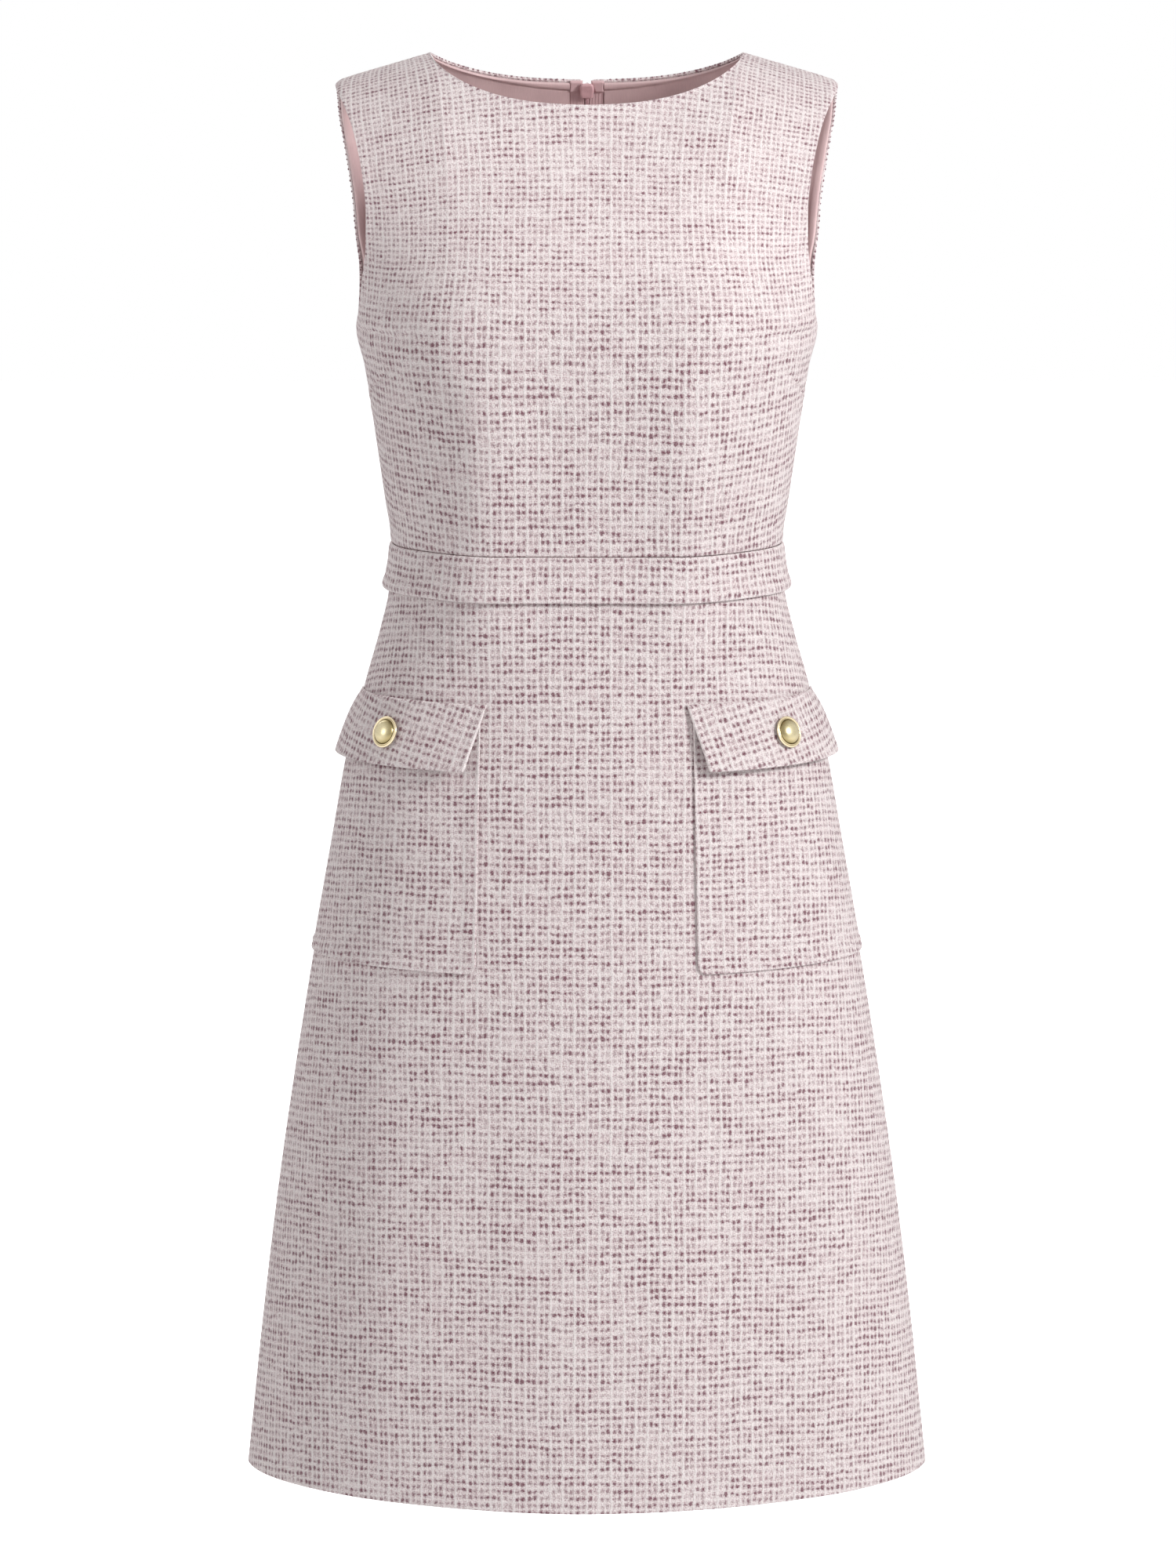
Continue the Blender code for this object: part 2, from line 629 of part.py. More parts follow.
def seam_frame():
    """Turns (across, down the seam, out of it) into dress coordinates at the slider."""
    origin = dress_point(BACK, 0.0, SLIDER_Z)
    down = unit(dress_point(BACK, 0.0, SLIDER_Z - 4) - dress_point(BACK, 0.0, SLIDER_Z + 4))
    out = np.cross(down, (1.0, 0.0, 0.0))
    out = out if out[1] > 0 else -out
    frame = Matrix.Identity(4)
    for column, axis in enumerate(((1.0, 0.0, 0.0), down, out)):
        for row in range(3):
            frame[row][column] = axis[row]
    frame.translation = Vector(origin)
    return frame


def plate(outline, low, high):
    """Vertices and faces of a flat plate with this outline in x and t, between two heights."""
    count = len(outline)
    vertices = [(x, t, n) for n in (low, high) for x, t in outline]
    sides = [(i, (i + 1) % count, (i + 1) % count + count, i + count) for i in range(count)]
    return vertices, [tuple(range(count))[::-1], tuple(range(count, 2 * count))] + sides


def box_outline(width, start, end):
    return [(-width / 2, start), (width / 2, start), (width / 2, end), (-width / 2, end)]


def rounded_slider_outline():
    top, bottom, half = SLIDER_TOP_WIDTH / 2, SLIDER_BOTTOM_WIDTH / 2, SLIDER_LENGTH / 2
    side = [(top - 1.6, -half), (top - 0.4, -half + 0.6), (top, -half + 2.0), (top - 0.3, 0.0)]
    side += [(bottom, half - 2.0), (bottom - 0.5, half - 0.6), (bottom - 1.6, half)]
    return side + [(-x, t) for x, t in reversed(side)]


def ring(inner, outer, width, segments=12):
    """A ring about the axis that the pull hangs from."""
    vertices, faces = [], []
    for i in range(segments):
        turn = 2 * math.pi * (i + 0.5) / segments
        for radius in (inner, outer):
            for x in (-width / 2, width / 2):
                vertices.append((x, HINGE_DOWN + radius * math.cos(turn), HINGE_OUT + radius * math.sin(turn)))
    for i in range(segments):
        a, b = 4 * i, 4 * ((i + 1) % segments)
        faces += [(a + p, b + p, b + q, a + q) for p, q in ((0, 1), (1, 3), (3, 2), (2, 0))]
    return vertices, faces


def placed(name, vertices, faces, frame, material):
    points = [frame @ Vector(vertex) for vertex in vertices]
    return add_object(name, points, faces, material)


def combine(target, helper, operation):
    modifier = target.modifiers.new(helper.name, "BOOLEAN")
    modifier.operation = operation
    modifier.object = helper
    helper.hide_render = True
    helper.display_type = "WIRE"


def make_slider(frame):
    """The slider's body inside the seam, its web through it, and the bail that the pull hangs from outside."""
    body = placed("zip_slider", *plate(rounded_slider_outline(), *SLIDER_INSIDE), frame, "zip")
    overlap = 0.4
    helpers = (
        ("slider_web", plate(
            box_outline(*SLIDER_NECK),
            SLIDER_INSIDE[1] - overlap,
            PLATE_OUTSIDE[0] + overlap,
        )),
        ("slider_plate", plate(box_outline(*SLIDER_PLATE), *PLATE_OUTSIDE)),
        ("slider_bail", ring(BAIL_INNER_RADIUS, BAIL_OUTER_RADIUS, BAIL_WIDTH)),
    )
    for name, shape in helpers:
        combine(body, placed(name, *shape, frame, "zip"), "UNION")


def make_pull(frame):
    """The pull hangs from the bail by the bar above its eye; its origin is on the hinge axis."""
    low, high = -PULL_THICKNESS / 2, PULL_THICKNESS / 2
    outline = [(width, t) for t, width in PULL_OUTLINE]
    outline += [(0.0, PULL_LENGTH)] + [(-x, t) for x, t in reversed(outline)]
    pull = add_object("zip_pull", *plate(outline, low, high), "zip")
    eye_width, eye_start, eye_end = PULL_EYE
    eye = add_object("pull_eye", *plate(box_outline(eye_width, eye_start, eye_end), low - 1, high + 1), "zip")
    hinge = frame @ Matrix.Translation((0.0, HINGE_DOWN, HINGE_OUT))
    hinge.translation *= MM
    for obj in (pull, eye):
        obj.matrix_world = hinge
    combine(pull, eye, "DIFFERENCE")


def main():
    clear_scene()
    make_bodice()
    make_lining()
    make_waistband()
    make_skirt()
    make_pockets()
    make_buttons()
    make_zip_tapes()
    make_zip_chain()
    frame = seam_frame()
    make_slider(frame)
    make_pull(frame)


main()
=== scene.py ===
"""Looks of the sleeveless tweed sheath dress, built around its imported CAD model.

Blender 4.5. Tables and sizes are in millimetres in the CAD model's frame, and MM turns them into metres.
The wearer faces -Y, and left and right are the wearer's: left is +X.
"""

import math
import random

import bpy
import numpy as np
from mathutils import Matrix, Vector


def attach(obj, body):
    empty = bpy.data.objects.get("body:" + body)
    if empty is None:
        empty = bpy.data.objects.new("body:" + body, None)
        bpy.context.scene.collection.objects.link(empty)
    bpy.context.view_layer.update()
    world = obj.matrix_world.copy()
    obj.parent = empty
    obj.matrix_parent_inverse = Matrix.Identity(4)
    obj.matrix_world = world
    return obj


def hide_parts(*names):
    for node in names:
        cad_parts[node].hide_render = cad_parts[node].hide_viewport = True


MM = 0.001
GAP = 0.3  # between neighbouring pieces
FRONT, BACK = -1, 1  # the sign of y

# Cloth thicknesses
TWEED = 1.6
LINING = 1.0
POCKET_CLOTH = 1.0

# Neck, shoulder and armhole
NECK_HALF_WIDTH = 107.4
NECK_POWER, NECK_ROOT = 2.5, 1.3
SHOULDER_SLOPE = 0.292
SHOULDER_TIP_X = 172.8
SHOULDER_TIP_Z = -22.5
SHOULDER_TIP_TURN = 20
SHOULDER_ROLL = 75.0
UNDERARM_Z = -188.5
LINING_INSET = 0.8
ROLL_MIDDLE = 3.1  # half the height of the lining's rolled edge
ROLL_DEPTH = 1.25
ROLL_CREASE_DEPTH, ROLL_CREASE_WIDTH = 0.8, 0.6
LINING_EDGE_X = 12.06  # its edge at the centre back, beside the tape

# Levels of the cross seams
WAIST_Z = -337.8
SKIRT_TOP_Z = -358.0
HEM_Z = -991.0

# Bust: where it is, how full, and how far it spreads across, up and down
BUST_X, BUST_Z, BUST_FULLNESS = 88.0, -180.0, 9.0
BUST_SPREAD_X, BUST_SPREAD_UP, BUST_SPREAD_DOWN = 42.0, 55.0, 42.0

# Front panel: below the bust it stays flat to about here, then turns to the side
TURN_X, TURN_FULLNESS, TURN_SPREAD = 73.0, 8.5, 30.0
TURN_STARTS_Z, TURN_FULL_Z, TURN_FADES_Z, TURN_ENDS_Z = -190.0, -245.0, -365.0, -437.0

# The form, a row for each level: the height at the side seam or, above the underarm, at the armhole edge
LEVEL_COLUMNS = ("level", "edge_x", "edge_y", "centre_y", "power", "fall")
FRONT_LEVELS = (
    (-22.5, 172.8, 55.0, 62.0, 2.40, 1.00),
    (-34.0, 166.0, 56.0, 66.0, 2.40, 1.00),
    (-47.0, 160.5, 57.0, 71.0, 2.40, 1.00),
    (-60.0, 156.9, 58.0, 76.5, 2.40, 1.00),
    (-80.0, 153.0, 58.0, 84.5, 2.40, 1.00),
    (-105.0, 150.6, 57.0, 94.5, 2.40, 1.00),
    (-130.0, 150.9, 54.0, 103.0, 2.40, 0.95),
    (-150.0, 153.2, 49.0, 108.5, 2.40, 0.80),
    (-165.0, 154.8, 42.0, 111.5, 2.40, 0.65),
    (-176.0, 156.4, 34.0, 113.0, 2.40, 0.54),
    (-184.0, 158.0, 22.0, 113.8, 2.40, 0.47),
    (-188.5, 158.9, 0.0, 114.0, 2.42, 0.413),
    (-215.0, 153.2, 0.0, 113.5, 2.50, 0.40),
    (-243.0, 148.9, 0.0, 110.0, 2.50, 0.40),
    (-275.0, 144.2, 0.0, 104.5, 2.42, 0.413),
    (-305.0, 139.9, 0.0, 98.5, 2.32, 0.431),
    (-338.0, 135.6, 0.0, 93.5, 2.20, 0.455),
    (-371.0, 137.2, 0.0, 96.0, 2.20, 0.455),
    (-395.0, 142.4, 0.0, 99.0, 2.20, 0.455),
    (-437.0, 154.1, 0.0, 104.5, 2.20, 0.455),
    (-485.0, 165.6, 0.0, 111.0, 2.16, 0.463),
    (-541.0, 175.6, 0.0, 118.0, 2.10, 0.476),
    (-622.0, 190.0, 0.0, 127.0, 2.02, 0.495),
    (-697.0, 202.3, 0.0, 134.5, 1.96, 0.510),
    (-786.0, 215.5, 0.0, 143.0, 1.90, 0.526),
    (-876.0, 226.7, 0.0, 151.0, 1.83, 0.546),
    (-991.0, 239.0, 0.0, 160.0, 1.77, 0.565),
)
BACK_LEVELS = (
    (-22.5, 172.8, 51.0, 55.0, 2.60, 1.00),
    (-34.0, 172.4, 52.0, 60.0, 2.60, 1.00),
    (-47.0, 171.6, 53.0, 65.5, 2.60, 1.00),
    (-60.0, 169.6, 54.0, 70.5, 2.60, 1.00),
    (-80.0, 166.5, 54.0, 77.0, 2.60, 1.00),
    (-105.0, 163.0, 53.0, 84.0, 2.50, 1.00),
    (-130.0, 161.0, 50.0, 89.5, 2.50, 0.95),
    (-150.0, 158.3, 46.0, 92.5, 2.50, 0.80),
    (-165.0, 157.8, 40.0, 94.0, 2.45, 0.65),
    (-176.0, 158.0, 32.0, 94.8, 2.40, 0.54),
    (-184.0, 158.4, 20.0, 95.0, 2.40, 0.47),
    (-188.5, 158.9, 0.0, 95.0, 2.40, 0.417),
    (-215.0, 153.2, 0.0, 94.0, 2.35, 0.426),
    (-243.0, 148.9, 0.0, 91.0, 2.30, 0.435),
    (-275.0, 144.2, 0.0, 86.0, 2.25, 0.444),
    (-305.0, 139.9, 0.0, 80.5, 2.20, 0.455),
    (-338.0, 135.6, 0.0, 75.5, 2.15, 0.465),
    (-371.0, 137.2, 0.0, 78.5, 2.15, 0.465),
    (-395.0, 142.4, 0.0, 85.0, 2.15, 0.465),
    (-437.0, 154.1, 0.0, 97.0, 2.20, 0.455),
    (-485.0, 165.6, 0.0, 108.0, 2.20, 0.455),
    (-541.0, 175.6, 0.0, 118.0, 2.15, 0.465),
    (-622.0, 190.0, 0.0, 127.5, 2.08, 0.481),
    (-697.0, 202.3, 0.0, 134.5, 2.02, 0.495),
    (-786.0, 215.5, 0.0, 141.5, 1.95, 0.513),
    (-876.0, 226.7, 0.0, 148.0, 1.90, 0.526),
    (-991.0, 239.0, 0.0, 155.5, 1.85, 0.541),
)

# Waistband: how far its two faces stand off the dress's surface
BAND_COLUMNS = ("level", "outside", "inside")
BAND_ROWS = (
    (WAIST_Z - GAP, 0.8, -1.6),
    (-342.5, 1.6, -1.6),
    (-349.0, 2.0, -1.5),
    (-355.0, 2.7, 0.45),
    (-362.0, 3.7, 0.9),
    (-366.0, 4.7, 2.0),
    (-369.3, 4.6, 2.5),
)

# Pockets
FLAP_TOP_Z = -439.0
PATCH_TOP_Z = -447.0
FLAP_BOTTOM_Z = -485.0
PATCH_BOTTOM_Z = -622.5
PATCH_INNER_X_TOP = 72.0
PATCH_INNER_X_SLOPE = 0.02
PATCH_CORNER = 7.0
PATCH_EDGE_LIFT = 0.35
FLAP_INNER_TOP_X = 67.8
FLAP_INNER_BOTTOM_X = 80.6
FLAP_CORNER, FLAP_INNER_CORNER = 5.0, 1.2
FLAP_TIP_CLOTH = 0.6  # how thin the outer top corners are pressed
FLAP_CORNER_LIFT = 2.5  # how much further the inner corners curl off the skirt
FLAP_ROWS = (
    (FLAP_TOP_Z, 2.6, 0.45),
    (-442.0, 3.3, 0.9),
    (-447.0, 4.1, 1.9),
    (-466.0, 7.2, 4.8),
    (FLAP_BOTTOM_Z, 9.6, 7.2),
)

# Darts. A waist dart runs down a panel at a constant x from its tip to the waist: its x and its tip's level.
BUST_DART_TIP_X, BUST_DART_TIP_Z, BUST_DART_SIDE_Z, BUST_DART_LENGTH = 126.0, -205.0, -241.0, 80.0
BODICE_DART = {FRONT: (92.0, -252.0), BACK: (78.0, -212.0)}
SKIRT_DART = {FRONT: (94.0, -431.0), BACK: (80.0, -478.0)}
BODICE_DART_FADES_Z = -60.0  # the level by which a column is back from a bodice's dart to its own share
SKIRT_DART_FADES = 120.0  # and how far below a skirt's dart

# Meshes: the usual distance between lines on each piece, and about how wide its runs of columns are
BODICE_STEP, LINING_STEP, SKIRT_STEP = 3.0, 4.6, 4.6
BAND_STEP, BAND_STEP_ACROSS, PATCH_STEP, FLAP_STEP = 2.4, 3.0, 3.2, 2.6
BODICE_FRONT_RUNS, BODICE_BACK_RUNS, SKIRT_RUNS = (105, 50, 75), (90, 100), (110, 150)
BAND_RUN, PATCH_RUN, FLAP_RUN = 175, 130, 125

# Weave
WARP_PITCH, WEFT_PITCH = 8.25, 5.1  # of the white warp lines, and of the mauve weft rows
BODICE_THREADS, BAND_THREADS = (1.05, 0.98), (0.97, 1.0)  # how much closer the threads lie, across and down
SKIRT_THREADS, PATCH_THREADS = (0.98, 1.0), (0.92, 1.05)
CHEST_CLOSER = 1.2  # how much closer the rows lie on the chest
CHEST_ENDS = (0.125, 0.165)  # between which distances down the cloth that ends, in metres
NEXT_CUT = (104, 66)  # how many repeats across and down the right-hand pieces are cut away from the left

# Soft creases, listed one by one. Each runs straight down: its side, its x at the top and at the bottom,
# the levels of its top and its bottom, how wide it is, and its depth, which is below zero on a ridge.
CREASE_ENDS = 0.4  # the share of a crease's length over which each end fades
CREASE_SIDE = (5.0, 40.0)  # how far from the side seams' plane the creases start, and are full
CREASES = (
    (FRONT, -97.0, -100.0, -200.0, -336.0, 15.0, 2.4),
    (FRONT, -30.0, -12.0, -215.0, -320.0, 16.0, 0.6),
    (FRONT, 58.0, 44.0, -212.0, -330.0, 14.0, 0.8),
    (FRONT, -64.0, -80.0, -650.0, -940.0, 23.0, 1.7),
    (FRONT, -132.0, -152.0, -640.0, -1060.0, 30.0, -2.2),
    (FRONT, 12.0, 26.0, -720.0, -1090.0, 26.0, 1.1),
    (FRONT, 96.0, 120.0, -655.0, -1020.0, 25.0, 1.5),
    (FRONT, 158.0, 184.0, -660.0, -1080.0, 24.0, -1.7),
    (BACK, -88.0, -94.0, -205.0, -330.0, 15.0, 1.6),
    (BACK, 92.0, 90.0, -210.0, -334.0, 16.0, 2.0),
    (BACK, -50.0, -72.0, -560.0, -900.0, 26.0, 1.8),
    (BACK, -142.0, -168.0, -620.0, -1070.0, 28.0, -1.9),
    (BACK, 46.0, 64.0, -600.0, -1080.0, 27.0, 1.4),
    (BACK, 120.0, 150.0, -540.0, -960.0, 28.0, -2.0),
)

# Edges and seams
# How far from an edge the mesh has its first lines, on the tweed and on the lining's rolled edge
FINE_STEPS = (0.12, 0.35, 0.7, 1.1, 1.7, 2.5, 3.6, 5.0, 6.8)
ROLL_STEPS = (0.15, 0.5, 1.1, 1.9, 3.1, 4.3, 5.2, 5.7, 6.1, 6.5, 7.0, 8.0)
GROOVE_DEPTH, GROOVE_WIDTH = 0.75, 1.1
RIDGE_HEIGHT, RIDGE_AT, RIDGE_WIDTH = 0.22, 5.0, 3.0  # of the allowances behind a seam
FOLD_HEIGHT, FOLD_WIDTH = 0.45, 7.0
DART_GROOVE, DART_GROOVE_WIDTH = 0.85, 1.0
DART_RIDGE, DART_RIDGE_AT, DART_RIDGE_WIDTH = 0.3, 4.0, 3.0
DART_POINT, DART_POINT_BEYOND, DART_POINT_WIDTH = 0.7, 5.0, 9.0  # the soft point past a dart's tip
STITCH_DEPTH, STITCH_IN, STITCH_WIDTH = 0.25, 3.4, 0.7  # the stitched line round a patch
HEM_DEPTH, HEM_THICKNESS = 32.0, 1.3
BUMP_SIZE = (0.8, 0.65, 0.68)  # half the length along the edge, across it and out of it
BUMP_SPACING = (3.2, 4.8)
BUMP_LEVEL = 6  # the row or column, counted from the edge, that tells which way the wall runs there
BUMP_SEED = 5

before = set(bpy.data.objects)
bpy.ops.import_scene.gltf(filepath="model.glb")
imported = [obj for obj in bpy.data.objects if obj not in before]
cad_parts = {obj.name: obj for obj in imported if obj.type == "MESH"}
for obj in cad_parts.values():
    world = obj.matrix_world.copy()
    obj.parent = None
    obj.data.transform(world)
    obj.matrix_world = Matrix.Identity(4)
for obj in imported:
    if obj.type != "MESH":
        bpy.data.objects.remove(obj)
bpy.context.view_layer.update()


# Curves through the tables


def monotone_slopes(xs, ys):
    """Slopes that keep a cubic through the points free of overshoot."""
    steps = np.diff(xs)
    rates = np.diff(ys) / steps
    slopes = np.empty(len(xs))
    slopes[0], slopes[-1] = rates[0], rates[-1]
    for i in range(1, len(xs) - 1):
        before, after = rates[i - 1], rates[i]
        if before * after <= 0:
            slopes[i] = 0.0
            continue
        first, second = 2 * steps[i] + steps[i - 1], steps[i] + 2 * steps[i - 1]
        slopes[i] = (first + second) / (first / before + second / after)
    return slopes


class Curve:
    """A smooth curve through (x, y) pairs, level beyond its ends."""

    def __init__(self, pairs):
        ordered = np.array(sorted(pairs))
        self.xs, self.ys = ordered[:, 0], ordered[:, 1]
        self.slopes = monotone_slopes(self.xs, self.ys)

    def __call__(self, x):
        x = np.clip(x, self.xs[0], self.xs[-1])
        i = np.clip(np.searchsorted(self.xs, x, side="right") - 1, 0, len(self.xs) - 2)
        width = self.xs[i + 1] - self.xs[i]
        u = (x - self.xs[i]) / width
        return (
            (1 + 2 * u) * (1 - u) ** 2 * self.ys[i]
            + u * (1 - u) ** 2 * width * self.slopes[i]
            + u * u * (3 - 2 * u) * self.ys[i + 1]
            + u * u * (u - 1) * width * self.slopes[i + 1]
        )


def columns_of(rows, names):
    return {name: Curve([(row[0], row[i]) for row in rows]) for i, name in enumerate(names) if i}


LEVELS = {FRONT: columns_of(FRONT_LEVELS, LEVEL_COLUMNS), BACK: columns_of(BACK_LEVELS, LEVEL_COLUMNS)}
NECK_DROP = {FRONT: 31.7, BACK: 21.5}


def smooth(x, low, high):
    u = np.clip((x - low) / (high - low), 0, 1)
    return u * u * (3 - 2 * u)


def hump(distance, width):
    return np.exp(-((distance / width) ** 2))


def down_arc(height, radius):
    """How far a rounded corner has drawn an edge in, at a height over the corner's foot."""
    return radius - math.sqrt(max(0.0, radius**2 - max(0.0, radius - height) ** 2))


# The form


def shoulder_line(x):
    """Height of the shoulder seam, and of its line carried on towards the neck."""
    seam_width = SHOULDER_TIP_X - NECK_HALF_WIDTH
    along = np.clip((x - NECK_HALF_WIDTH) / seam_width, 0, 1)
    tip_drop = SHOULDER_TIP_Z + SHOULDER_SLOPE * seam_width
    return -SHOULDER_SLOPE * (x - NECK_HALF_WIDTH) + tip_drop * along**SHOULDER_TIP_TURN


def neck_share(inset=0.0):
    """The share of a panel's width at which its neckline meets its shoulder seam."""
    return math.asin((NECK_HALF_WIDTH + inset) / (SHOULDER_TIP_X - inset)) * 2 / math.pi


def top_edge(side, x, inset=0.0):
    """Height of the neckline, or of the shoulder seam, at x."""
    half_width = NECK_HALF_WIDTH + inset
    in_neck = np.clip(1 - np.minimum(x / half_width, 1) ** NECK_POWER, 0, 1) ** (1 / NECK_ROOT)
    neckline = shoulder_line(half_width) - (NECK_DROP[side] + inset) * in_neck
    return np.where(x >= half_width, shoulder_line(x), neckline)


def humps(x, middle, spread):
    """Two equal humps, one on each side of the centre line."""
    return hump(x - middle, spread) + hump(x + middle, spread)


def dress_point(side, share, level, inset=0.0):
    """Points on the outside of the dress: share runs from 0 at the centre line to 1 at the side."""
    at = LEVELS[side]
    spread = np.sin(share * math.pi / 2)
    rise = np.clip((level - UNDERARM_Z) / (SHOULDER_TIP_Z - UNDERARM_Z), 0, None)
    x = spread * (at["edge_x"](level) - inset * np.minimum(1.0, 6 * rise))
    top = top_edge(side, spread * (SHOULDER_TIP_X - inset), inset)
    z = level + (top - SHOULDER_TIP_Z) * rise**1.5
    edge_y = at["edge_y"](level)
    crown = np.clip(1 - spread ** at["power"](level), 0, None) ** at["fall"](level)
    depth = edge_y + (at["centre_y"](level) - edge_y) * crown
    below_shoulder = np.clip((shoulder_line(x) - z) / SHOULDER_ROLL, 0, 1)
    depth = depth * np.sqrt(1 - (1 - below_shoulder) ** 2)
    if side == FRONT:
        bust = hump(z - BUST_Z, np.where(z > BUST_Z, BUST_SPREAD_UP, BUST_SPREAD_DOWN))
        depth = depth + BUST_FULLNESS * humps(x, BUST_X, BUST_SPREAD_X) * bust
        turn = smooth(z, TURN_STARTS_Z, TURN_FULL_Z) * smooth(z, TURN_ENDS_Z, TURN_FADES_Z)
        depth = depth + TURN_FULLNESS * turn * humps(x, TURN_X, TURN_SPREAD)
    return np.stack((x, side * depth, z), -1)


def unit(vectors):
    return vectors / np.linalg.norm(vectors, axis=-1, keepdims=True)


def dress_normal(side, share, level, inset=0.0):
    """The outward directions, kept in the plane of a seam along that seam."""
    share_step, level_step = 0.004, 0.3

    def at(share, level):
        return dress_point(side, share, level, inset)

    across = at(np.minimum(share + share_step, 1.0), level) - at(np.maximum(share - share_step, 0.0), level)
    up = at(share, np.minimum(level + level_step, SHOULDER_TIP_Z)) - at(share, level - level_step)
    normal = np.cross(up, across) * side
    on_side_seam = (share >= 1 - 1e-9) & (level <= UNDERARM_Z)
    on_shoulder_seam = (level >= SHOULDER_TIP_Z - 1e-9) & (share >= neck_share(inset) - 1e-6)
    normal[..., 1] = np.where(on_side_seam | on_shoulder_seam, 0.0, normal[..., 1])
    normal[..., 0] = np.where(share <= 0, 0.0, normal[..., 0])
    return unit(normal)


def share_at(side, x, level):
    """The share of the width at which a row passes x."""
    return np.arcsin(np.clip(x / LEVELS[side]["edge_x"](level), 0, 1)) * 2 / math.pi


# Grids: half a panel, in rows from the top and columns from its centre or inner edge


def spaced(length, step, fine_start=True, fine_end=True, fine=FINE_STEPS):
    """Places from 0 to 1 along a length, close together beside an end that is an edge, a seam or a dart."""
    start = [d / length for d in fine] if fine_start else []
    end = [1 - d / length for d in reversed(fine)] if fine_end else []
    low, high = (start or [0.0])[-1], (end or [1.0])[0]
    count = max(2, round((high - low) * length / step))
    middle = list(np.linspace(low, high, count + 1))
    return np.array(([0.0] if start else []) + start[:-1] + middle + end[1:] + ([1.0] if end else []))


def spread_between(keys, places):
    """Joins runs between key places: places[i] are the places from keys[i] to keys[i + 1]."""
    runs = [keys[i] + (keys[i + 1] - keys[i]) * run for i, run in enumerate(places)]
    return np.concatenate([runs[0]] + [run[1:] for run in runs[1:]])


class Grid:
    """Shares and levels of a half panel's points, and their distances from its edges along the cloth.

    rows: a function of the share for each row, giving its level. keys: for a level, the shares of the key
    columns, the first and last of which are the panel's edges. places: the columns between each two keys.
    trims: for a level, how far to move each key column along the cloth, in millimetres.
    """

    def __init__(self, side, rows, keys, places, inset=0.0, trims=None):
        self.side = side
        dense = 1 - (1 - np.linspace(0, 1, 500)) ** 1.6
        shares, levels = [], []
        for row in rows:
            ends = keys(row)
            line = np.unique(np.concatenate((dense * (ends[-1] - ends[0]) + ends[0], ends)))
            points = dress_point(side, line, row(line), inset)
            steps = np.linalg.norm(np.diff(points, axis=0), axis=1)
            length = np.concatenate(([0.0], np.cumsum(steps)))
            stops = np.interp(ends, line, length)
            if trims:
                stops = stops + np.array(trims(float(row(line).mean())))
            share = np.interp(spread_between(stops, places), length, line)
            if not trims:
                share[0], share[-1] = ends[0], ends[-1]
            shares.append(share)
            levels.append(row(share))
        self.share, self.level = np.array(shares), np.array(levels)
        self.key_columns = np.cumsum([0] + [len(run) - 1 for run in places])
        self.surface = dress_point(side, self.share, self.level, inset)
        self.normal = dress_normal(side, self.share, self.level, inset)
        across = np.linalg.norm(np.diff(self.surface, axis=1), axis=2)
        down = np.linalg.norm(np.diff(self.surface, axis=0), axis=2)
        self.from_inner = np.concatenate((np.zeros((len(shares), 1)), np.cumsum(across, axis=1)), axis=1)
        self.from_side = self.from_inner[:, -1:] - self.from_inner
        self.from_top = np.concatenate((np.zeros((1, self.share.shape[1])), np.cumsum(down, axis=0)))
        self.from_bottom = self.from_top[-1:] - self.from_top

    def moved(self, offset):
        """The points moved out by an offset (in where it is negative), short of the seams at y = 0."""
        points = self.surface + offset[..., None] * self.normal
        points[..., 1] = self.side * np.maximum(self.side * points[..., 1], GAP / 2)
        return points


def constant_rows(levels):
    return [lambda share, level=level: np.full_like(share, level) for level in levels]


MIDDLE_SHARE = 0.45  # where a row's level is taken, for the columns that depend on it


def level_rows(top, bottom, step, fine=FINE_STEPS):
    """Level rows from top to bottom, close together at both ends."""
    return constant_rows(top - (top - bottom) * spaced(top - bottom, step, fine=fine))


def key_shares(*columns):
    """For a row, the shares of its key columns. A column is a share, or a function from level to share."""

    def keys(row):
        level = float(row(np.array([MIDDLE_SHARE]))[0])
        return np.array([float(column(level)) if callable(column) else column for column in columns])

    return keys


# Shells


def arc(radius, height, size, first, last, count):
    """Points round a ring's section, from one angle to another in degrees."""
    turns = np.radians(np.linspace(first, last, count))
    return [(radius + size * math.cos(turn), height + size * math.sin(turn)) for turn in turns]


def tube_faces(rings, count, closed=False):
    """Faces between rings of count points each: with a cap at each end, or closed into a loop."""
    total = rings * count
    faces = []
    for ring in range(rings if closed else rings - 1):
        for i in range(count):
            a, b = ring * count + i, ring * count + (i + 1) % count
            faces.append((a, b, (b + count) % total, (a + count) % total))
    if not closed:
        faces += [tuple(range(count))[::-1], tuple(range(total - count, total))]
    return faces


def turned(profile, segments):
    """Vertices and faces of a profile of (radius, height) turned about the z axis."""
    turns = np.linspace(0, 2 * math.pi, segments, endpoint=False)
    vertices = [(r * math.cos(turn), r * math.sin(turn), h) for r, h in profile for turn in turns]
    return vertices, tube_faces(len(profile), segments)


def rounded(distance, half):
    """The share of a wall's half thickness at a distance from its rounded edge."""
    return np.sqrt(1 - (1 - np.clip(distance / half, 0, 1)) ** 2)


def mirrored(points):
    return points * np.array((-1, 1, 1))


def both_halves(points):
    """The points of a whole front, from those of the half from the centre line to the left side."""
    return np.concatenate((mirrored(points)[:, :0:-1], points), axis=1)


def quads(rows, columns):
    a = np.arange((rows - 1) * columns).reshape(rows - 1, columns)[:, :-1]
    return np.stack((a, a + columns, a + columns + 1, a + 1), -1).reshape(-1, 4)


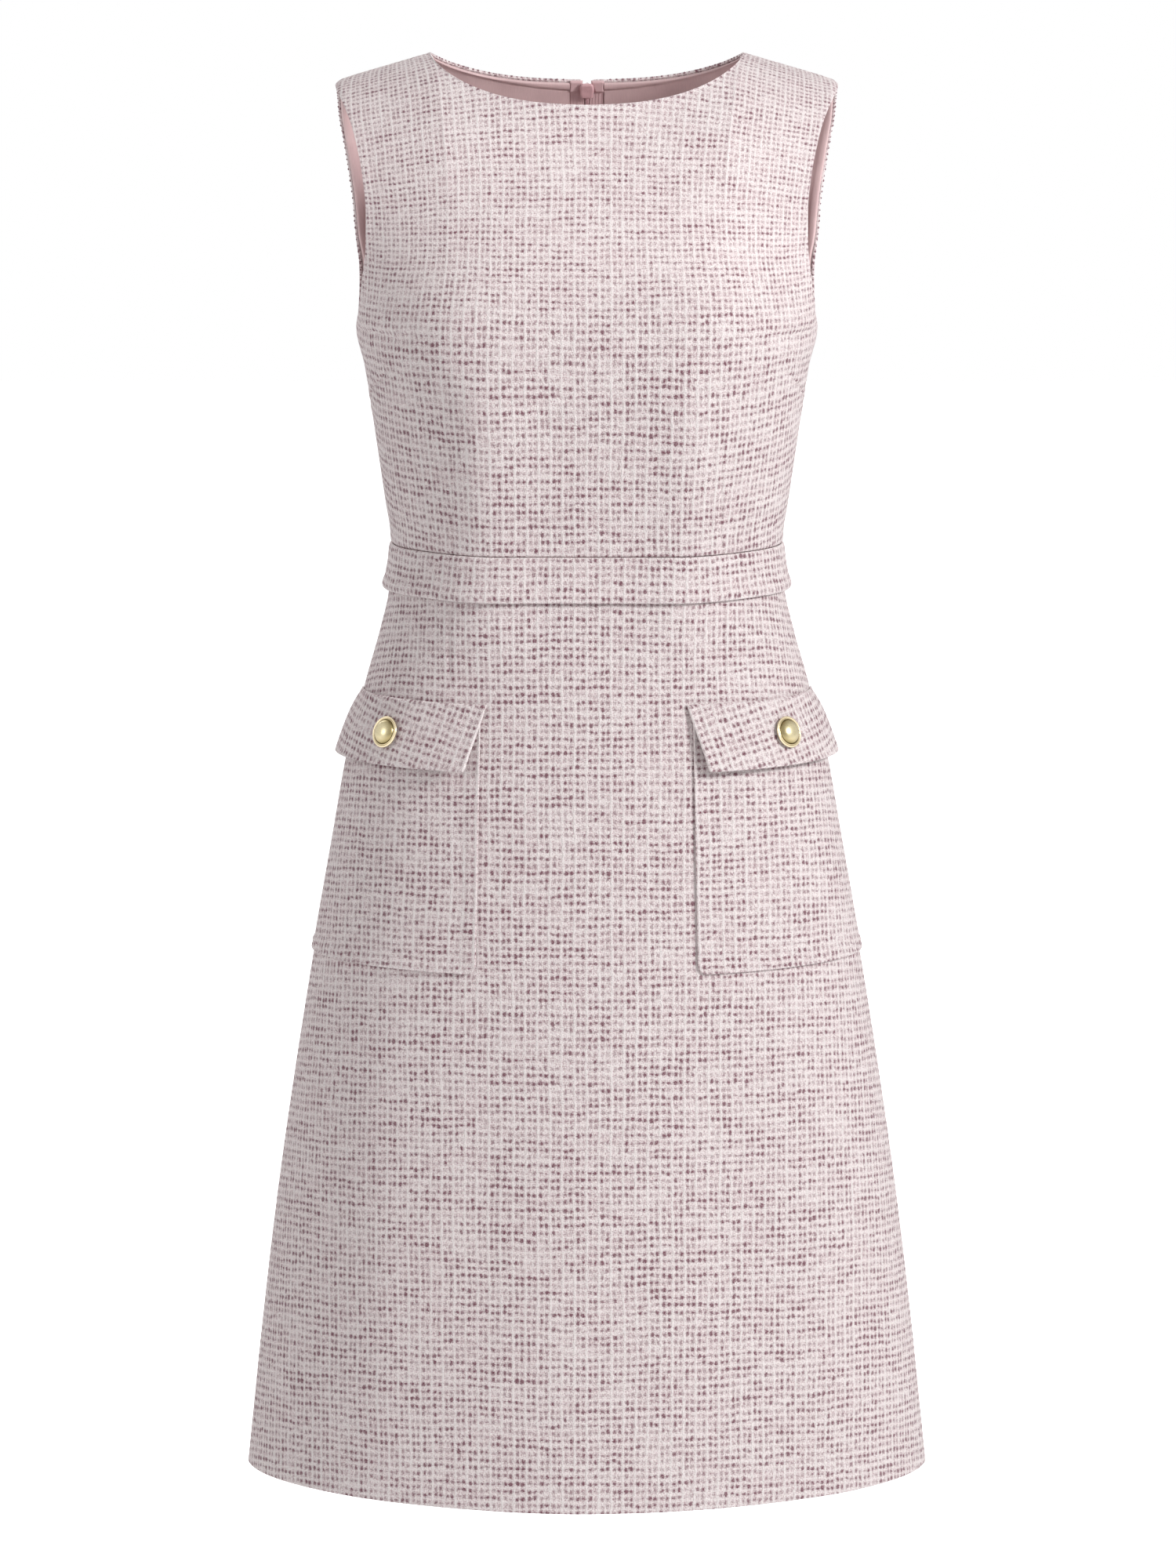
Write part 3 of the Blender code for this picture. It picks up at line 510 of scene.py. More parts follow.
def flatten(points, cuts, guide):
    """The cloth of a grid laid flat, in metres, for each corner of each square.

    cuts are runs of (row, column) points along which a dart opens. guide is the column that lies along the
    grain: its top end is at the origin, and it runs straight down from there.
    """
    rows, columns = points.shape[:2]
    faces = quads(rows, columns)
    mesh = bpy.data.meshes.new("flat")
    mesh.from_pydata((points.reshape(-1, 3) * MM).tolist(), [], faces.tolist())
    lines = [[row * columns + column for row, column in cut] for cut in cuts]
    cut_edges = {tuple(sorted(pair)) for line in lines for pair in zip(line, line[1:])}
    for edge in mesh.edges:
        edge.use_seam = tuple(sorted(edge.vertices)) in cut_edges
    cloth = bpy.data.objects.new("flat", mesh)
    bpy.context.scene.collection.objects.link(cloth)
    bpy.context.view_layer.objects.active = cloth
    cloth.select_set(True)
    bpy.ops.object.mode_set(mode="EDIT")
    bpy.ops.mesh.select_all(action="SELECT")
    bpy.ops.uv.unwrap(method="ANGLE_BASED", fill_holes=False, correct_aspect=False, margin=0.0)
    bpy.ops.object.mode_set(mode="OBJECT")
    flat = np.empty(len(mesh.loops) * 2, np.float32)
    mesh.uv_layers.active.data.foreach_get("uv", flat)
    flat = flat.reshape(-1, 4, 2).astype(float)
    bpy.data.objects.remove(cloth)
    bpy.data.meshes.remove(mesh)
    corners = points.reshape(-1, 3)[faces] * MM
    crossed = np.cross(corners[:, 2] - corners[:, 0], corners[:, 3] - corners[:, 1])
    curved_area = np.linalg.norm(crossed, axis=1).sum() / 2
    column = min(guide, columns - 2)
    corner = 0 if guide == column else 3
    top = flat[column, corner]
    line = flat[column :: columns - 1, (corner + 1) if corner == 0 else 2] - top
    along = unit((line * (line**2).sum(axis=1, keepdims=True)).sum(axis=0))
    turn = np.array(((-along[1], along[0]), (-along[0], -along[1])))
    return (flat - top) @ turn.T * math.sqrt(curved_area / area_of(flat))


def area_of(flat):
    """The area of squares laid flat."""
    first, second = flat[:, 2] - flat[:, 0], flat[:, 3] - flat[:, 1]
    return float(np.abs(first[:, 0] * second[:, 1] - first[:, 1] * second[:, 0]).sum() / 2)


def bodice_weave(flat):
    """The photo's weft rows lie closer above the bust than below it."""
    down = np.linspace(-0.1, 0.5, 1201)
    closeness = CHEST_CLOSER + (1 - CHEST_CLOSER) * smooth(down, *CHEST_ENDS)
    places = np.cumsum(closeness) * (down[1] - down[0])
    placed = flat * BODICE_THREADS
    placed[..., 1] = -np.interp(-placed[..., 1], down, places)
    return placed


def flat_size(flat):
    low, high = flat.reshape(-1, 2).min(axis=0), flat.reshape(-1, 2).max(axis=0)
    return tuple(float(size) for size in high - low)


def add_mesh(name, points, faces, material, flat=None):
    mesh = bpy.data.meshes.new(name)
    mesh.from_pydata((np.asarray(points, float) * MM).tolist(), [], [tuple(map(int, face)) for face in faces])
    if flat is not None:
        layer = mesh.uv_layers.new(name="weave")
        layer.data.foreach_set("uv", flat.reshape(-1).astype(np.float32))
    mesh.shade_smooth()
    mesh.materials.append(material)
    obj = bpy.data.objects.new(name, mesh)
    bpy.context.scene.collection.objects.link(obj)
    return obj


def yarn_bumps(runs, seed):
    """Points and faces of small bumps of yarn along edges. A run is points, and two directions at each."""
    draw = random.Random(seed)
    ball, ball_faces = turned(arc(0.0, 0.0, 1.0, -70, 70, 5), 8)
    points, faces = [], []
    for line, outward, through in runs:
        length = np.concatenate(([0.0], np.cumsum(np.linalg.norm(np.diff(line, axis=0), axis=1))))
        place = draw.uniform(1.0, 3.0)
        while place < length[-1] - 1.0:
            centre, out, across = (
                np.array([np.interp(place, length, column) for column in values.T])
                for values in (line, outward, through)
            )
            axes = np.array((unit(np.cross(across, out)), across, out)) * np.array(BUMP_SIZE)[:, None]
            faces += [tuple(len(points) + i for i in face) for face in ball_faces]
            points += list(centre - 0.1 * out + np.array(ball) @ axes * draw.uniform(0.75, 1.2))
            place += draw.uniform(*BUMP_SPACING)
    return np.array(points), faces


def creased(points):
    """Points moved in or out by the creases, so that all the layers at a place move together."""
    x, y, z = np.moveaxis(points, -1, 0)
    depth = np.zeros_like(x)
    for side, top_x, bottom_x, top, bottom, spread, crease_depth in CREASES:
        middle = np.interp(-z, (-top, -bottom), (top_x, bottom_x))
        fade = (top - bottom) * CREASE_ENDS
        ends = smooth(z, top, top - fade) * smooth(z, bottom, bottom + fade)
        depth -= side * crease_depth * hump(x - middle, spread) * ends * smooth(side * y, *CREASE_SIDE)
    return points + depth[..., None] * np.array((0.0, 1.0, 0.0))


EDGES = np.s_[0, :], np.s_[-1, :], np.s_[:, 0], np.s_[:, -1]


def add_shell(name, outer, inner, material, flat, flipped=False, bumps=None):
    """A closed wall between two grids, whose edges meet halfway between them."""
    outer, inner = creased(outer), creased(inner)
    rows, columns = outer.shape[:2]
    middle = (outer + inner) / 2
    outer = outer.copy()
    for edge in EDGES:
        outer[edge] = middle[edge]
    index = np.arange(rows * columns).reshape(rows, columns)
    inside = index + rows * columns
    for edge in EDGES:
        inside[edge] = index[edge]
    front = quads(rows, columns)
    back = inside.reshape(-1)[front][:, ::-1]
    used, renumbered = np.unique(np.concatenate((front, back)), return_inverse=True)
    faces = renumbered.reshape(-1, 4)
    points = np.concatenate((outer.reshape(-1, 3), inner.reshape(-1, 3)))[used]
    flat = np.concatenate((flat, flat[:, ::-1]))
    if flipped:
        faces, flat = faces[:, ::-1], flat[:, ::-1]
    if bumps is None:
        return add_mesh(name, points, faces, material, flat.reshape(-1, 2))
    faces = [tuple(face) for face in faces] + [tuple(i + len(points) for i in face) for face in bumps[1]]
    corners = sum(len(face) for face in bumps[1])
    flat = np.concatenate((flat.reshape(-1, 2), np.zeros((corners, 2))))
    obj = add_mesh(name, np.concatenate((points, bumps[0])), faces, material, flat)
    yarn = np.concatenate((np.zeros(len(points)), np.ones(len(bumps[0]))))
    obj.data.attributes.new("yarn", "FLOAT", "POINT").data.foreach_set("value", yarn.astype(np.float32))
    return obj


# How seams, turned edges and darts shape a panel's outside


def seam(distance):
    """The outside dips into a seam and stands proud over the allowances behind it."""
    return RIDGE_HEIGHT * hump(distance - RIDGE_AT, RIDGE_WIDTH) - GROOVE_DEPTH * hump(distance, GROOVE_WIDTH)


def fold(distance, extra=FOLD_HEIGHT, width=FOLD_WIDTH):
    """The outside stands proud where the cloth is turned over along an edge."""
    return extra * (1 - smooth(distance, width - 1.5, width + 1.5))


def dart(distance, below_tip, length):
    """A dart's groove, which deepens from its tip, and the soft point beyond the tip."""
    depth = smooth(below_tip / length, 0.0, 0.35)
    point = DART_POINT * hump(np.hypot(distance, below_tip + DART_POINT_BEYOND), DART_POINT_WIDTH)
    ridge = DART_RIDGE * hump(distance - DART_RIDGE_AT, DART_RIDGE_WIDTH)
    return depth * (ridge - DART_GROOVE * hump(distance, DART_GROOVE_WIDTH)) + point


def wall(outer, inner, distances):
    """The two faces of a wall, drawn together in a half circle along its edges."""
    half, middle = (outer - inner) / 2, (outer + inner) / 2
    share = np.ones_like(half)
    for distance in distances:
        share = np.minimum(share, rounded(distance, half))
    return middle + half * share, middle - half * share


def edges_of(grid, inner_sharper=1.0):
    """The distances from a panel's edges. A front has none at its centre, and a back's may be sharper."""
    inner = [] if grid.side == FRONT else [grid.from_inner * inner_sharper]
    return [grid.from_top, grid.from_bottom, grid.from_side] + inner


def waist_dart(grid, tip_z, foot_z):
    """A dart along a panel's first key column."""
    column = grid.key_columns[1]
    distance = np.abs(grid.from_inner - grid.from_inner[:, column : column + 1])
    below_tip = (tip_z - grid.level) * (1 if foot_z < tip_z else -1)
    return dart(distance, below_tip, abs(foot_z - tip_z))


def dart_cut(grid, tip_z, foot_z):
    """The run of points along which a waist dart is cut open, from its tip to the panel's edge."""
    column = grid.key_columns[1]
    levels = grid.level[:, column]
    rows = np.nonzero(levels <= tip_z if foot_z < tip_z else levels >= tip_z)[0]
    return [(int(row), int(column)) for row in rows]


def follow_dart(side, start_share, dart_x, tip_z, fade_z):
    """A column that keeps to a dart's x beside it and eases back to its own share away from it."""

    def share(level):
        if (level - tip_z) * (fade_z - tip_z) <= 0:
            return float(share_at(side, dart_x, level))
        away = smooth(abs(level - tip_z), 0, abs(fade_z - tip_z))
        at_tip = share_at(side, dart_x, tip_z)
        return float(at_tip + (start_share - at_tip) * away)

    return share


# The cloth pieces


# Half the opening at the centre back, and the tapes' inner edges, at each height
CENTRE_BACK_X = Curve(((-21.5, 4.3), (-24.2, 3.8), (-31.7, 1.25), (-48.2, 0.03), (HEM_Z, 0.03)))
TAPE_EDGE_X = Curve(((-21.5, 3.1), (-26.0, 3.0), (-33.0, 1.6), (HEM_Z, 1.6)))


def inner_edge(side, edge_x=CENTRE_BACK_X):
    """For a level, the share at which a panel starts: at the centre line on a front, beside it on a back."""

    def share(level):
        if side == FRONT:
            return 0.0
        height = dress_point(BACK, np.array(0.01), np.array(float(level)))[2]
        return share_at(BACK, edge_x(height), level)

    return share


def bodice_grid(side, step, inset=0.0, edge_x=CENTRE_BACK_X, fine=FINE_STEPS):
    """Half the bodice. On the front, a row runs along the bust dart from its tip to the side seam."""
    beside_dart = follow_dart(side, neck_share(inset), *BODICE_DART[side], BODICE_DART_FADES_Z)
    if side == BACK:
        rows = level_rows(SHOULDER_TIP_Z, WAIST_Z, step, fine)
        places = [spaced(BODICE_BACK_RUNS[0], step), spaced(BODICE_BACK_RUNS[1], step, fine=fine)]
        return Grid(BACK, rows, key_shares(inner_edge(BACK, edge_x), beside_dart, 1.0), places, inset)

    tip = float(share_at(FRONT, BUST_DART_TIP_X, BUST_DART_TIP_Z))

    def dart_level(share):
        along = np.clip((share - tip) / (1 - tip), 0, 1)
        return BUST_DART_TIP_Z + (BUST_DART_SIDE_Z - BUST_DART_TIP_Z) * along

    above, below = SHOULDER_TIP_Z - BUST_DART_TIP_Z, BUST_DART_TIP_Z - WAIST_Z
    rows = [
        lambda share, t=t: SHOULDER_TIP_Z + (dart_level(share) - SHOULDER_TIP_Z) * t
        for t in spaced(above, step, fine=fine)
    ] + [
        lambda share, t=t: dart_level(share) + (WAIST_Z - dart_level(share)) * t
        for t in spaced(below, step)[1:]
    ]
    centre, middle, outer = BODICE_FRONT_RUNS
    places = [spaced(centre, step, False), spaced(middle, step, True, False)]
    places.append(spaced(outer, step, False, fine=fine))
    return Grid(FRONT, rows, key_shares(0.0, beside_dart, tip, 1.0), places, inset)


def armhole_or_seam(grid):
    """1 on rows that end at the armhole, 0 on those that end at the side seam."""
    return smooth(grid.level[:, -1:], UNDERARM_Z - 1.0, UNDERARM_Z + 4.0)


def neckline_or_seam(grid):
    """1 on columns that end at the neckline, 0 on those that end at the shoulder seam."""
    return 1 - smooth(grid.surface[:1, :, 0], NECK_HALF_WIDTH - 2.0, NECK_HALF_WIDTH + 2.0)


def laid_flat(grid, cuts=()):
    """A panel's cloth laid flat: a back as it is, a front with its mirror image."""
    if grid.side == BACK:
        return flatten(grid.surface, cuts, 0)
    centre = grid.share.shape[1] - 1
    both = [[(row, centre + sign * column) for row, column in cut] for sign in (1, -1) for cut in cuts]
    return flatten(both_halves(grid.surface), both, centre)


def add_panel(name, finish, material, grid, walls, flat, weave=None, bumps=None):
    """Adds a whole front, or the left and the right pieces of a back."""
    outer, inner = (grid.moved(offset) for offset in walls)
    if grid.side == BACK:
        add_pair(f"{name}_back", finish, material, outer, inner, flat, weave, bumps)
        return
    weave = flat if weave is None else weave
    front = add_shell(f"{name}_front_{finish}", both_halves(outer), both_halves(inner), material, weave)
    dress_piece(front, f"{name}_front", flat)


def edge_bumps(grid, walls):
    """Bumps of yarn along the neck and the armhole of a back, clear of the zip."""
    outer, inner = (grid.moved(offset) for offset in walls)
    middle, through = (outer + inner) / 2, unit(outer - inner + 1e-9)
    neck_x = grid.surface[0, :, 0]
    at_neck = (neck_x < NECK_HALF_WIDTH - 1.0) & (neck_x > TAPE_OUTER_X + 1.0)
    at_arm = grid.level[:, -1] > UNDERARM_Z + 4.0
    row, column = BUMP_LEVEL, -1 - BUMP_LEVEL
    runs = (
        (outer[0, at_neck], unit(outer[0] - middle[row])[at_neck], through[row, at_neck]),
        (outer[at_arm, -1], unit(outer[:, -1] - middle[:, column])[at_arm], through[at_arm, column]),
    )
    return yarn_bumps(runs, BUMP_SEED)


def make_bodice(tweed):
    for side in (FRONT, BACK):
        grid = bodice_grid(side, BODICE_STEP)
        armhole, neckline = armhole_or_seam(grid), neckline_or_seam(grid)
        tip_z = BODICE_DART[side][1]
        outer = (
            neckline * fold(grid.from_top) + (1 - neckline) * seam(grid.from_top)
            + armhole * fold(grid.from_side) + (1 - armhole) * seam(grid.from_side)
            + seam(grid.from_bottom)
            + (fold(grid.from_inner, 0.25) if side == BACK else 0.0)
            + waist_dart(grid, tip_z, WAIST_Z)
        )
        cuts = [dart_cut(grid, tip_z, WAIST_Z)]
        if side == FRONT:
            bust_row = len(spaced(SHOULDER_TIP_Z - BUST_DART_TIP_Z, BODICE_STEP)) - 1
            tip_column, columns = grid.key_columns[2], grid.share.shape[1]
            from_dart = np.abs(grid.from_top - grid.from_top[bust_row])
            along = grid.from_inner - grid.from_inner[:, tip_column : tip_column + 1]
            outer = outer + dart(from_dart, along, BUST_DART_LENGTH)
            cuts.append([(bust_row, column) for column in range(tip_column, columns)])
        walls = wall(outer, np.full_like(outer, -TWEED), edges_of(grid))
        flat = laid_flat(grid, cuts)
        bumps = edge_bumps(grid, walls) if side == BACK else None
        add_panel("bodice", "tweed", tweed, grid, walls, flat, bodice_weave(flat), bumps)


def dress_piece(obj, node, flat):
    """Puts a cloth piece in the dress, in place of its CAD node, and works out the size that it was cut to,
    without keeping it.
    """
    ride_as(obj, node)
    width, length = flat_size(flat)
    min(area_of(flat), width * length)


def ride_as(obj, node, body="dress"):
    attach(obj, body)
    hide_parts(node)


def add_pair(name, finish, material, outer, inner, flat, weave=None, bumps=None):
    """The left piece of a back or a pocket, and its mirror image, cut from another part of the cloth."""
    weave = flat if weave is None else weave
    faces_back = outer[0, 0, 1] > 0
    other_bumps = bumps and (mirrored(bumps[0]), [face[::-1] for face in bumps[1]])
    elsewhere = weave + np.array(NEXT_CUT) * (WARP_PITCH, WEFT_PITCH) * MM
    left = "left", outer, inner, weave, faces_back, bumps
    right = "right", mirrored(outer), mirrored(inner), elsewhere, not faces_back, other_bumps
    for hand, outside, inside, place, flipped, ends in (left, right):
        piece = add_shell(f"{name}_{hand}_{finish}", outside, inside, material, place, flipped, ends)
        dress_piece(piece, f"{name}_{hand}", flat)


def lining_inner(distance):
    """The lining's inside along a rolled edge: a full roll, a stitched crease, then flat cloth."""
    around = np.clip((distance - ROLL_MIDDLE) / ROLL_MIDDLE, -1.0, 1.0)
    crease = ROLL_CREASE_DEPTH * hump(distance - 2 * ROLL_MIDDLE, ROLL_CREASE_WIDTH)
    return -ROLL_DEPTH * np.sqrt(1 - around**2) + crease


def make_lining(satin):
    for side in (FRONT, BACK):
        grid = bodice_grid(side, LINING_STEP, LINING_INSET, lambda z: LINING_EDGE_X, ROLL_STEPS)
        neck_roll = neckline_or_seam(grid) * lining_inner(grid.from_top)
        armhole_roll = armhole_or_seam(grid) * lining_inner(grid.from_side)
        outer = np.full_like(grid.share, -TWEED - GAP)
        walls = wall(outer, outer - LINING + neck_roll + armhole_roll, edges_of(grid, 6))
        add_panel("lining", "satin", satin, grid, walls, laid_flat(grid))


def strip_flat(grid):
    """A straight strip laid flat: its rows run along its own edges."""
    across, down = grid.from_inner, -grid.from_top
    if grid.side == FRONT:
        across = np.concatenate((-across[:, :0:-1], across), axis=1)
        down = np.concatenate((down[:, :0:-1], down), axis=1)
    corners = quads(*across.shape)
    return np.stack((across.reshape(-1)[corners], down.reshape(-1)[corners]), -1) * MM


def make_waistband(tweed):
    at = columns_of(BAND_ROWS, BAND_COLUMNS)
    top, bottom = BAND_ROWS[0][0], BAND_ROWS[-1][0]
    rows = level_rows(top, bottom, BAND_STEP)
    for side in (FRONT, BACK):
        places = [spaced(BAND_RUN, BAND_STEP_ACROSS, side == BACK)]
        grid = Grid(side, rows, key_shares(inner_edge(side), 1.0), places)
        outer = at["outside"](grid.level) + seam(grid.from_side) + 0.3 * hump(grid.from_bottom - 4.0, 4.0)
        walls = wall(outer, at["inside"](grid.level), edges_of(grid))
        flat = strip_flat(grid)
        weave = flat * BAND_THREADS if side == FRONT else flat
        add_panel("waistband", "tweed", tweed, grid, walls, flat, weave)


def make_skirt(tweed):
    rows = level_rows(SKIRT_TOP_Z, HEM_Z, SKIRT_STEP)
    for side in (FRONT, BACK):
        dart_x, tip_z = SKIRT_DART[side]
        at_tip = float(share_at(side, dart_x, tip_z))
        beside_dart = follow_dart(side, at_tip, dart_x, tip_z, tip_z - SKIRT_DART_FADES)
        places = [spaced(SKIRT_RUNS[0], SKIRT_STEP, side == BACK), spaced(SKIRT_RUNS[1], SKIRT_STEP)]
        grid = Grid(side, rows, key_shares(inner_edge(side), beside_dart, 1.0), places)
        outer = seam(grid.from_side) + waist_dart(grid, tip_z, SKIRT_TOP_Z)
        if side == BACK:
            outer = outer + seam(grid.from_inner)
        inner = -TWEED - HEM_THICKNESS * (1 - smooth(grid.from_bottom, HEM_DEPTH - 0.8, HEM_DEPTH + 0.8))
        walls = wall(outer, inner, edges_of(grid))
        flat = laid_flat(grid, [dart_cut(grid, tip_z, SKIRT_TOP_Z)])
        weave = flat * SKIRT_THREADS if side == FRONT else flat
        add_panel("skirt", "tweed", tweed, grid, walls, flat, weave)


def pocket_grid(top, bottom, step, run, inner_x, trims):
    """A piece on the front of the skirt, from its inner edge to the side seam."""
    keys = key_shares(lambda level: share_at(FRONT, inner_x(level), level), 1.0)
    return Grid(FRONT, level_rows(top, bottom, step), keys, [spaced(run, step)], trims=trims)


def make_patches(tweed):
    def inner_x(level):
        return PATCH_INNER_X_TOP + PATCH_INNER_X_SLOPE * (FLAP_TOP_Z - level)

    def trims(level):
        return down_arc(level - PATCH_BOTTOM_Z, PATCH_CORNER), 0.0

    grid = pocket_grid(PATCH_TOP_Z, PATCH_BOTTOM_Z, PATCH_STEP, PATCH_RUN, inner_x, trims)
    edge = np.minimum(grid.from_inner, grid.from_bottom)
    lift = PATCH_EDGE_LIFT * hump(edge, 3.2) * smooth(grid.from_side, 4.0, 12.0)
    stitched = STITCH_DEPTH * hump(edge - STITCH_IN, STITCH_WIDTH)
    outer = GAP + POCKET_CLOTH + lift + fold(edge, 0.9, 8.0) + seam(grid.from_side) - stitched
    ends = [grid.from_top, grid.from_bottom * 2, grid.from_side, grid.from_inner * 2.5]
    outer, inner = wall(outer, GAP + lift, ends)
    flat = flatten(grid.surface, [], 0)
    weave = flat * PATCH_THREADS
    add_pair("pocket_patch", "tweed", tweed, grid.moved(outer), grid.moved(inner), flat, weave)


def make_flaps(tweed):
    at = columns_of(FLAP_ROWS, BAND_COLUMNS)
    length = FLAP_TOP_Z - FLAP_BOTTOM_Z

    def inner_x(level):
        return FLAP_INNER_TOP_X + (FLAP_INNER_BOTTOM_X - FLAP_INNER_TOP_X) * (FLAP_TOP_Z - level) / length

    def trims(level):
        height = level - FLAP_BOTTOM_Z
        return down_arc(height, FLAP_INNER_CORNER), -down_arc(height, FLAP_CORNER)

    grid = pocket_grid(FLAP_TOP_Z, FLAP_BOTTOM_Z, FLAP_STEP, FLAP_RUN, inner_x, trims)
    edge = np.minimum(np.minimum(grid.from_inner, grid.from_bottom), grid.from_side)
    ridge = np.minimum(grid.from_top, grid.from_inner)
    outer = at["outside"](grid.level) + fold(edge, 0.25, 4.0) + 0.45 * hump(ridge - 1.8, 1.7)
    flatter = hump(grid.from_side, 18.0) * hump(grid.from_top, 10.0)
    inside = at["inside"](grid.level)
    outer = outer - flatter * (outer - inside - FLAP_TIP_CLOTH)
    lifted = FLAP_CORNER_LIFT * hump(grid.from_inner, 30.0) * smooth(grid.from_top, 8.0, 40.0)
    outer, inside = outer + lifted, inside + lifted
    ends = [grid.from_top, grid.from_bottom * 1.5, grid.from_side, grid.from_inner * 1.5]
    outer, inner = wall(outer, inside, ends)
    flat = flatten(grid.surface, [], 0)
    add_pair("pocket_flap", "tweed", tweed, grid.moved(outer), grid.moved(inner), flat)


# Buttons

BUTTON_X, BUTTON_Z = 132.5, -463.0
BUTTON_LIFT = 1.2
BUTTON_SHANK = 2.6
BUTTON_RIM = (10.2, 1.1, 0.85)  # radius, height and half thickness of the outer ring
BUTTON_BEAD = (9.05, 1.55, 0.36)  # the same for the fine bead inside it
BUTTON_DOME = (8.5, 0.8, 5.0)  # radius, height of its foot and rise


def flap_seat(x, z, step=3.0):
    """A point on the outside of a flap, and the direction that it faces."""
    outside = columns_of(FLAP_ROWS, BAND_COLUMNS)["outside"]

    def at(off_x, off_z):
        level = np.array(z + off_z)
        share = share_at(FRONT, x + off_x, level)
        return dress_point(FRONT, share, level) + outside(level) * dress_normal(FRONT, share, level)

    facing = unit(np.cross(at(step, 0.0) - at(-step, 0.0), at(0.0, step) - at(0.0, -step)))
    return at(0.0, 0.0), facing


def make_buttons(gold):
    radius, foot, rise = BUTTON_DOME
    dome = [(radius * math.cos(t), foot + rise * math.sin(t)) for t in np.linspace(0, math.pi / 2 - 0.02, 22)]
    profile = [(BUTTON_SHANK, -BUTTON_LIFT), (BUTTON_SHANK, 0.1), (9.2, 0.25)]
    profile += arc(*BUTTON_RIM, -80, 150, 14) + arc(*BUTTON_BEAD, -20, 170, 8) + dome
    vertices, faces = turned(profile, 96)
    seat, facing = flap_seat(BUTTON_X, BUTTON_Z)
    seat = seat + facing * (GAP + BUTTON_LIFT)
    for hand, sign in (("left", 1), ("right", -1)):
        name = f"flap_button_{hand}"
        button = add_mesh(f"{name}_gold", vertices, faces, gold)
        button.location = Vector(seat * (sign, 1, 1)) * MM
        button.rotation_euler = Vector(facing * (sign, 1, 1)).to_track_quat("Z", "Y").to_euler()
        ride_as(button, name)


# Zip

ZIP_BOTTOM_Z = -545.0
TAPE_OUTER_X = 12.0
TAPE_THICKNESS = 0.7
TAPE_FOLD = 1.9  # extra thickness where the tape's end is turned over
TAPE_RISE = 0.9  # how far the turned ends stand above the neck edge
TAPE_FOLD_HEIGHT = 9.4
TAPE_FOLD_SLANT = 3.0  # how far the turned end narrows from top to bottom
COIL_TOP_Z = -33.8
COIL_PITCH = 1.3
COIL_WIDTH, COIL_DEPTH, COIL_WIRE = 2.8, 1.5, 0.62
COIL_SPINE = ((-0.5, -0.28), (-0.42, 0.22), (-0.2, 0.5), (0.25, 0.5), (0.5, 0.36))  # a loop: across, in depth
SLIDER_Z = -27.3
SLIDER_TOP_WIDTH = 9.9
SLIDER_BOTTOM_WIDTH = 7.6
SLIDER_LENGTH = 11.8
SLIDER_INSIDE = (-7.7, -4.6)  # from and to which height the inner plate reaches
SLIDER_EDGE = 1.45  # how round its edge is
SLIDER_NECK = (1.1, -1.2, 5.2)  # width, and where it starts and ends along the seam
SLIDER_PLATE = (6.0, -1.6, 5.8)  # the same for the outer plate
PLATE_OUTSIDE = (0.5, 1.5)
BAIL_WIDTH, BAIL_RADIUS, BAIL_HALF = 2.0, 1.7, 0.5
HINGE_OUT = 2.45
HINGE_DOWN = 1.6
PULL_LENGTH = 22.0
PULL_THICKNESS = 1.1
PULL_EYE = (3.2, 0.6, 4.2)
PULL_OUTLINE = ((-0.55, 2.3), (1.5, 2.9), (5.0, 2.9), (9.0, 2.2), (16.0, 3.3), (19.5, 3.0), (21.3, 1.8))


def make_zip_tapes(tape):
    length = SHOULDER_TIP_Z - ZIP_BOTTOM_Z
    top = np.arange(0, 13, 0.45) / length
    rows = constant_rows(SHOULDER_TIP_Z - length * np.concatenate((top, np.linspace(14 / length, 1, 150))))
    keys = key_shares(inner_edge(BACK, TAPE_EDGE_X), inner_edge(BACK, lambda z: TAPE_OUTER_X))
    grid = Grid(BACK, rows, keys, [np.linspace(0, 1, 19)])
    drop = grid.from_top
    narrowed = TAPE_FOLD_SLANT * smooth(drop, 0.0, TAPE_FOLD_HEIGHT)
    inside_end = np.minimum(TAPE_FOLD_HEIGHT - drop, (grid.from_inner - narrowed + 0.6) * 1.4)
    turned_end = np.sqrt(smooth(inside_end, 0.0, 2.2))
    outer = np.full_like(drop, -TWEED - GAP)
    ribs = 0.18 * np.sin(grid.from_inner * math.pi / 1.1) * smooth(drop, 9, 12)
    inner = outer - TAPE_THICKNESS - ribs - TAPE_FOLD * turned_end
    outer, inner = wall(outer, inner, [grid.from_top, grid.from_bottom, grid.from_side * 4, grid.from_inner])
    flat = flatten(grid.surface, [], 0)
    rise = (TAPE_RISE * smooth(drop, TAPE_FOLD_HEIGHT, 0.0))[..., None] * np.array((0.0, 0.0, 1.0))
    add_pair("zip_tape", "woven", tape, grid.moved(outer) + rise, grid.moved(inner) + rise, flat)


def back_seam(level, offset):
    """A point on the centre back line, moved in or out."""
    share, level = np.array(0.0), np.array(float(level))
    return dress_point(BACK, share, level) + offset * dress_normal(BACK, share, level)


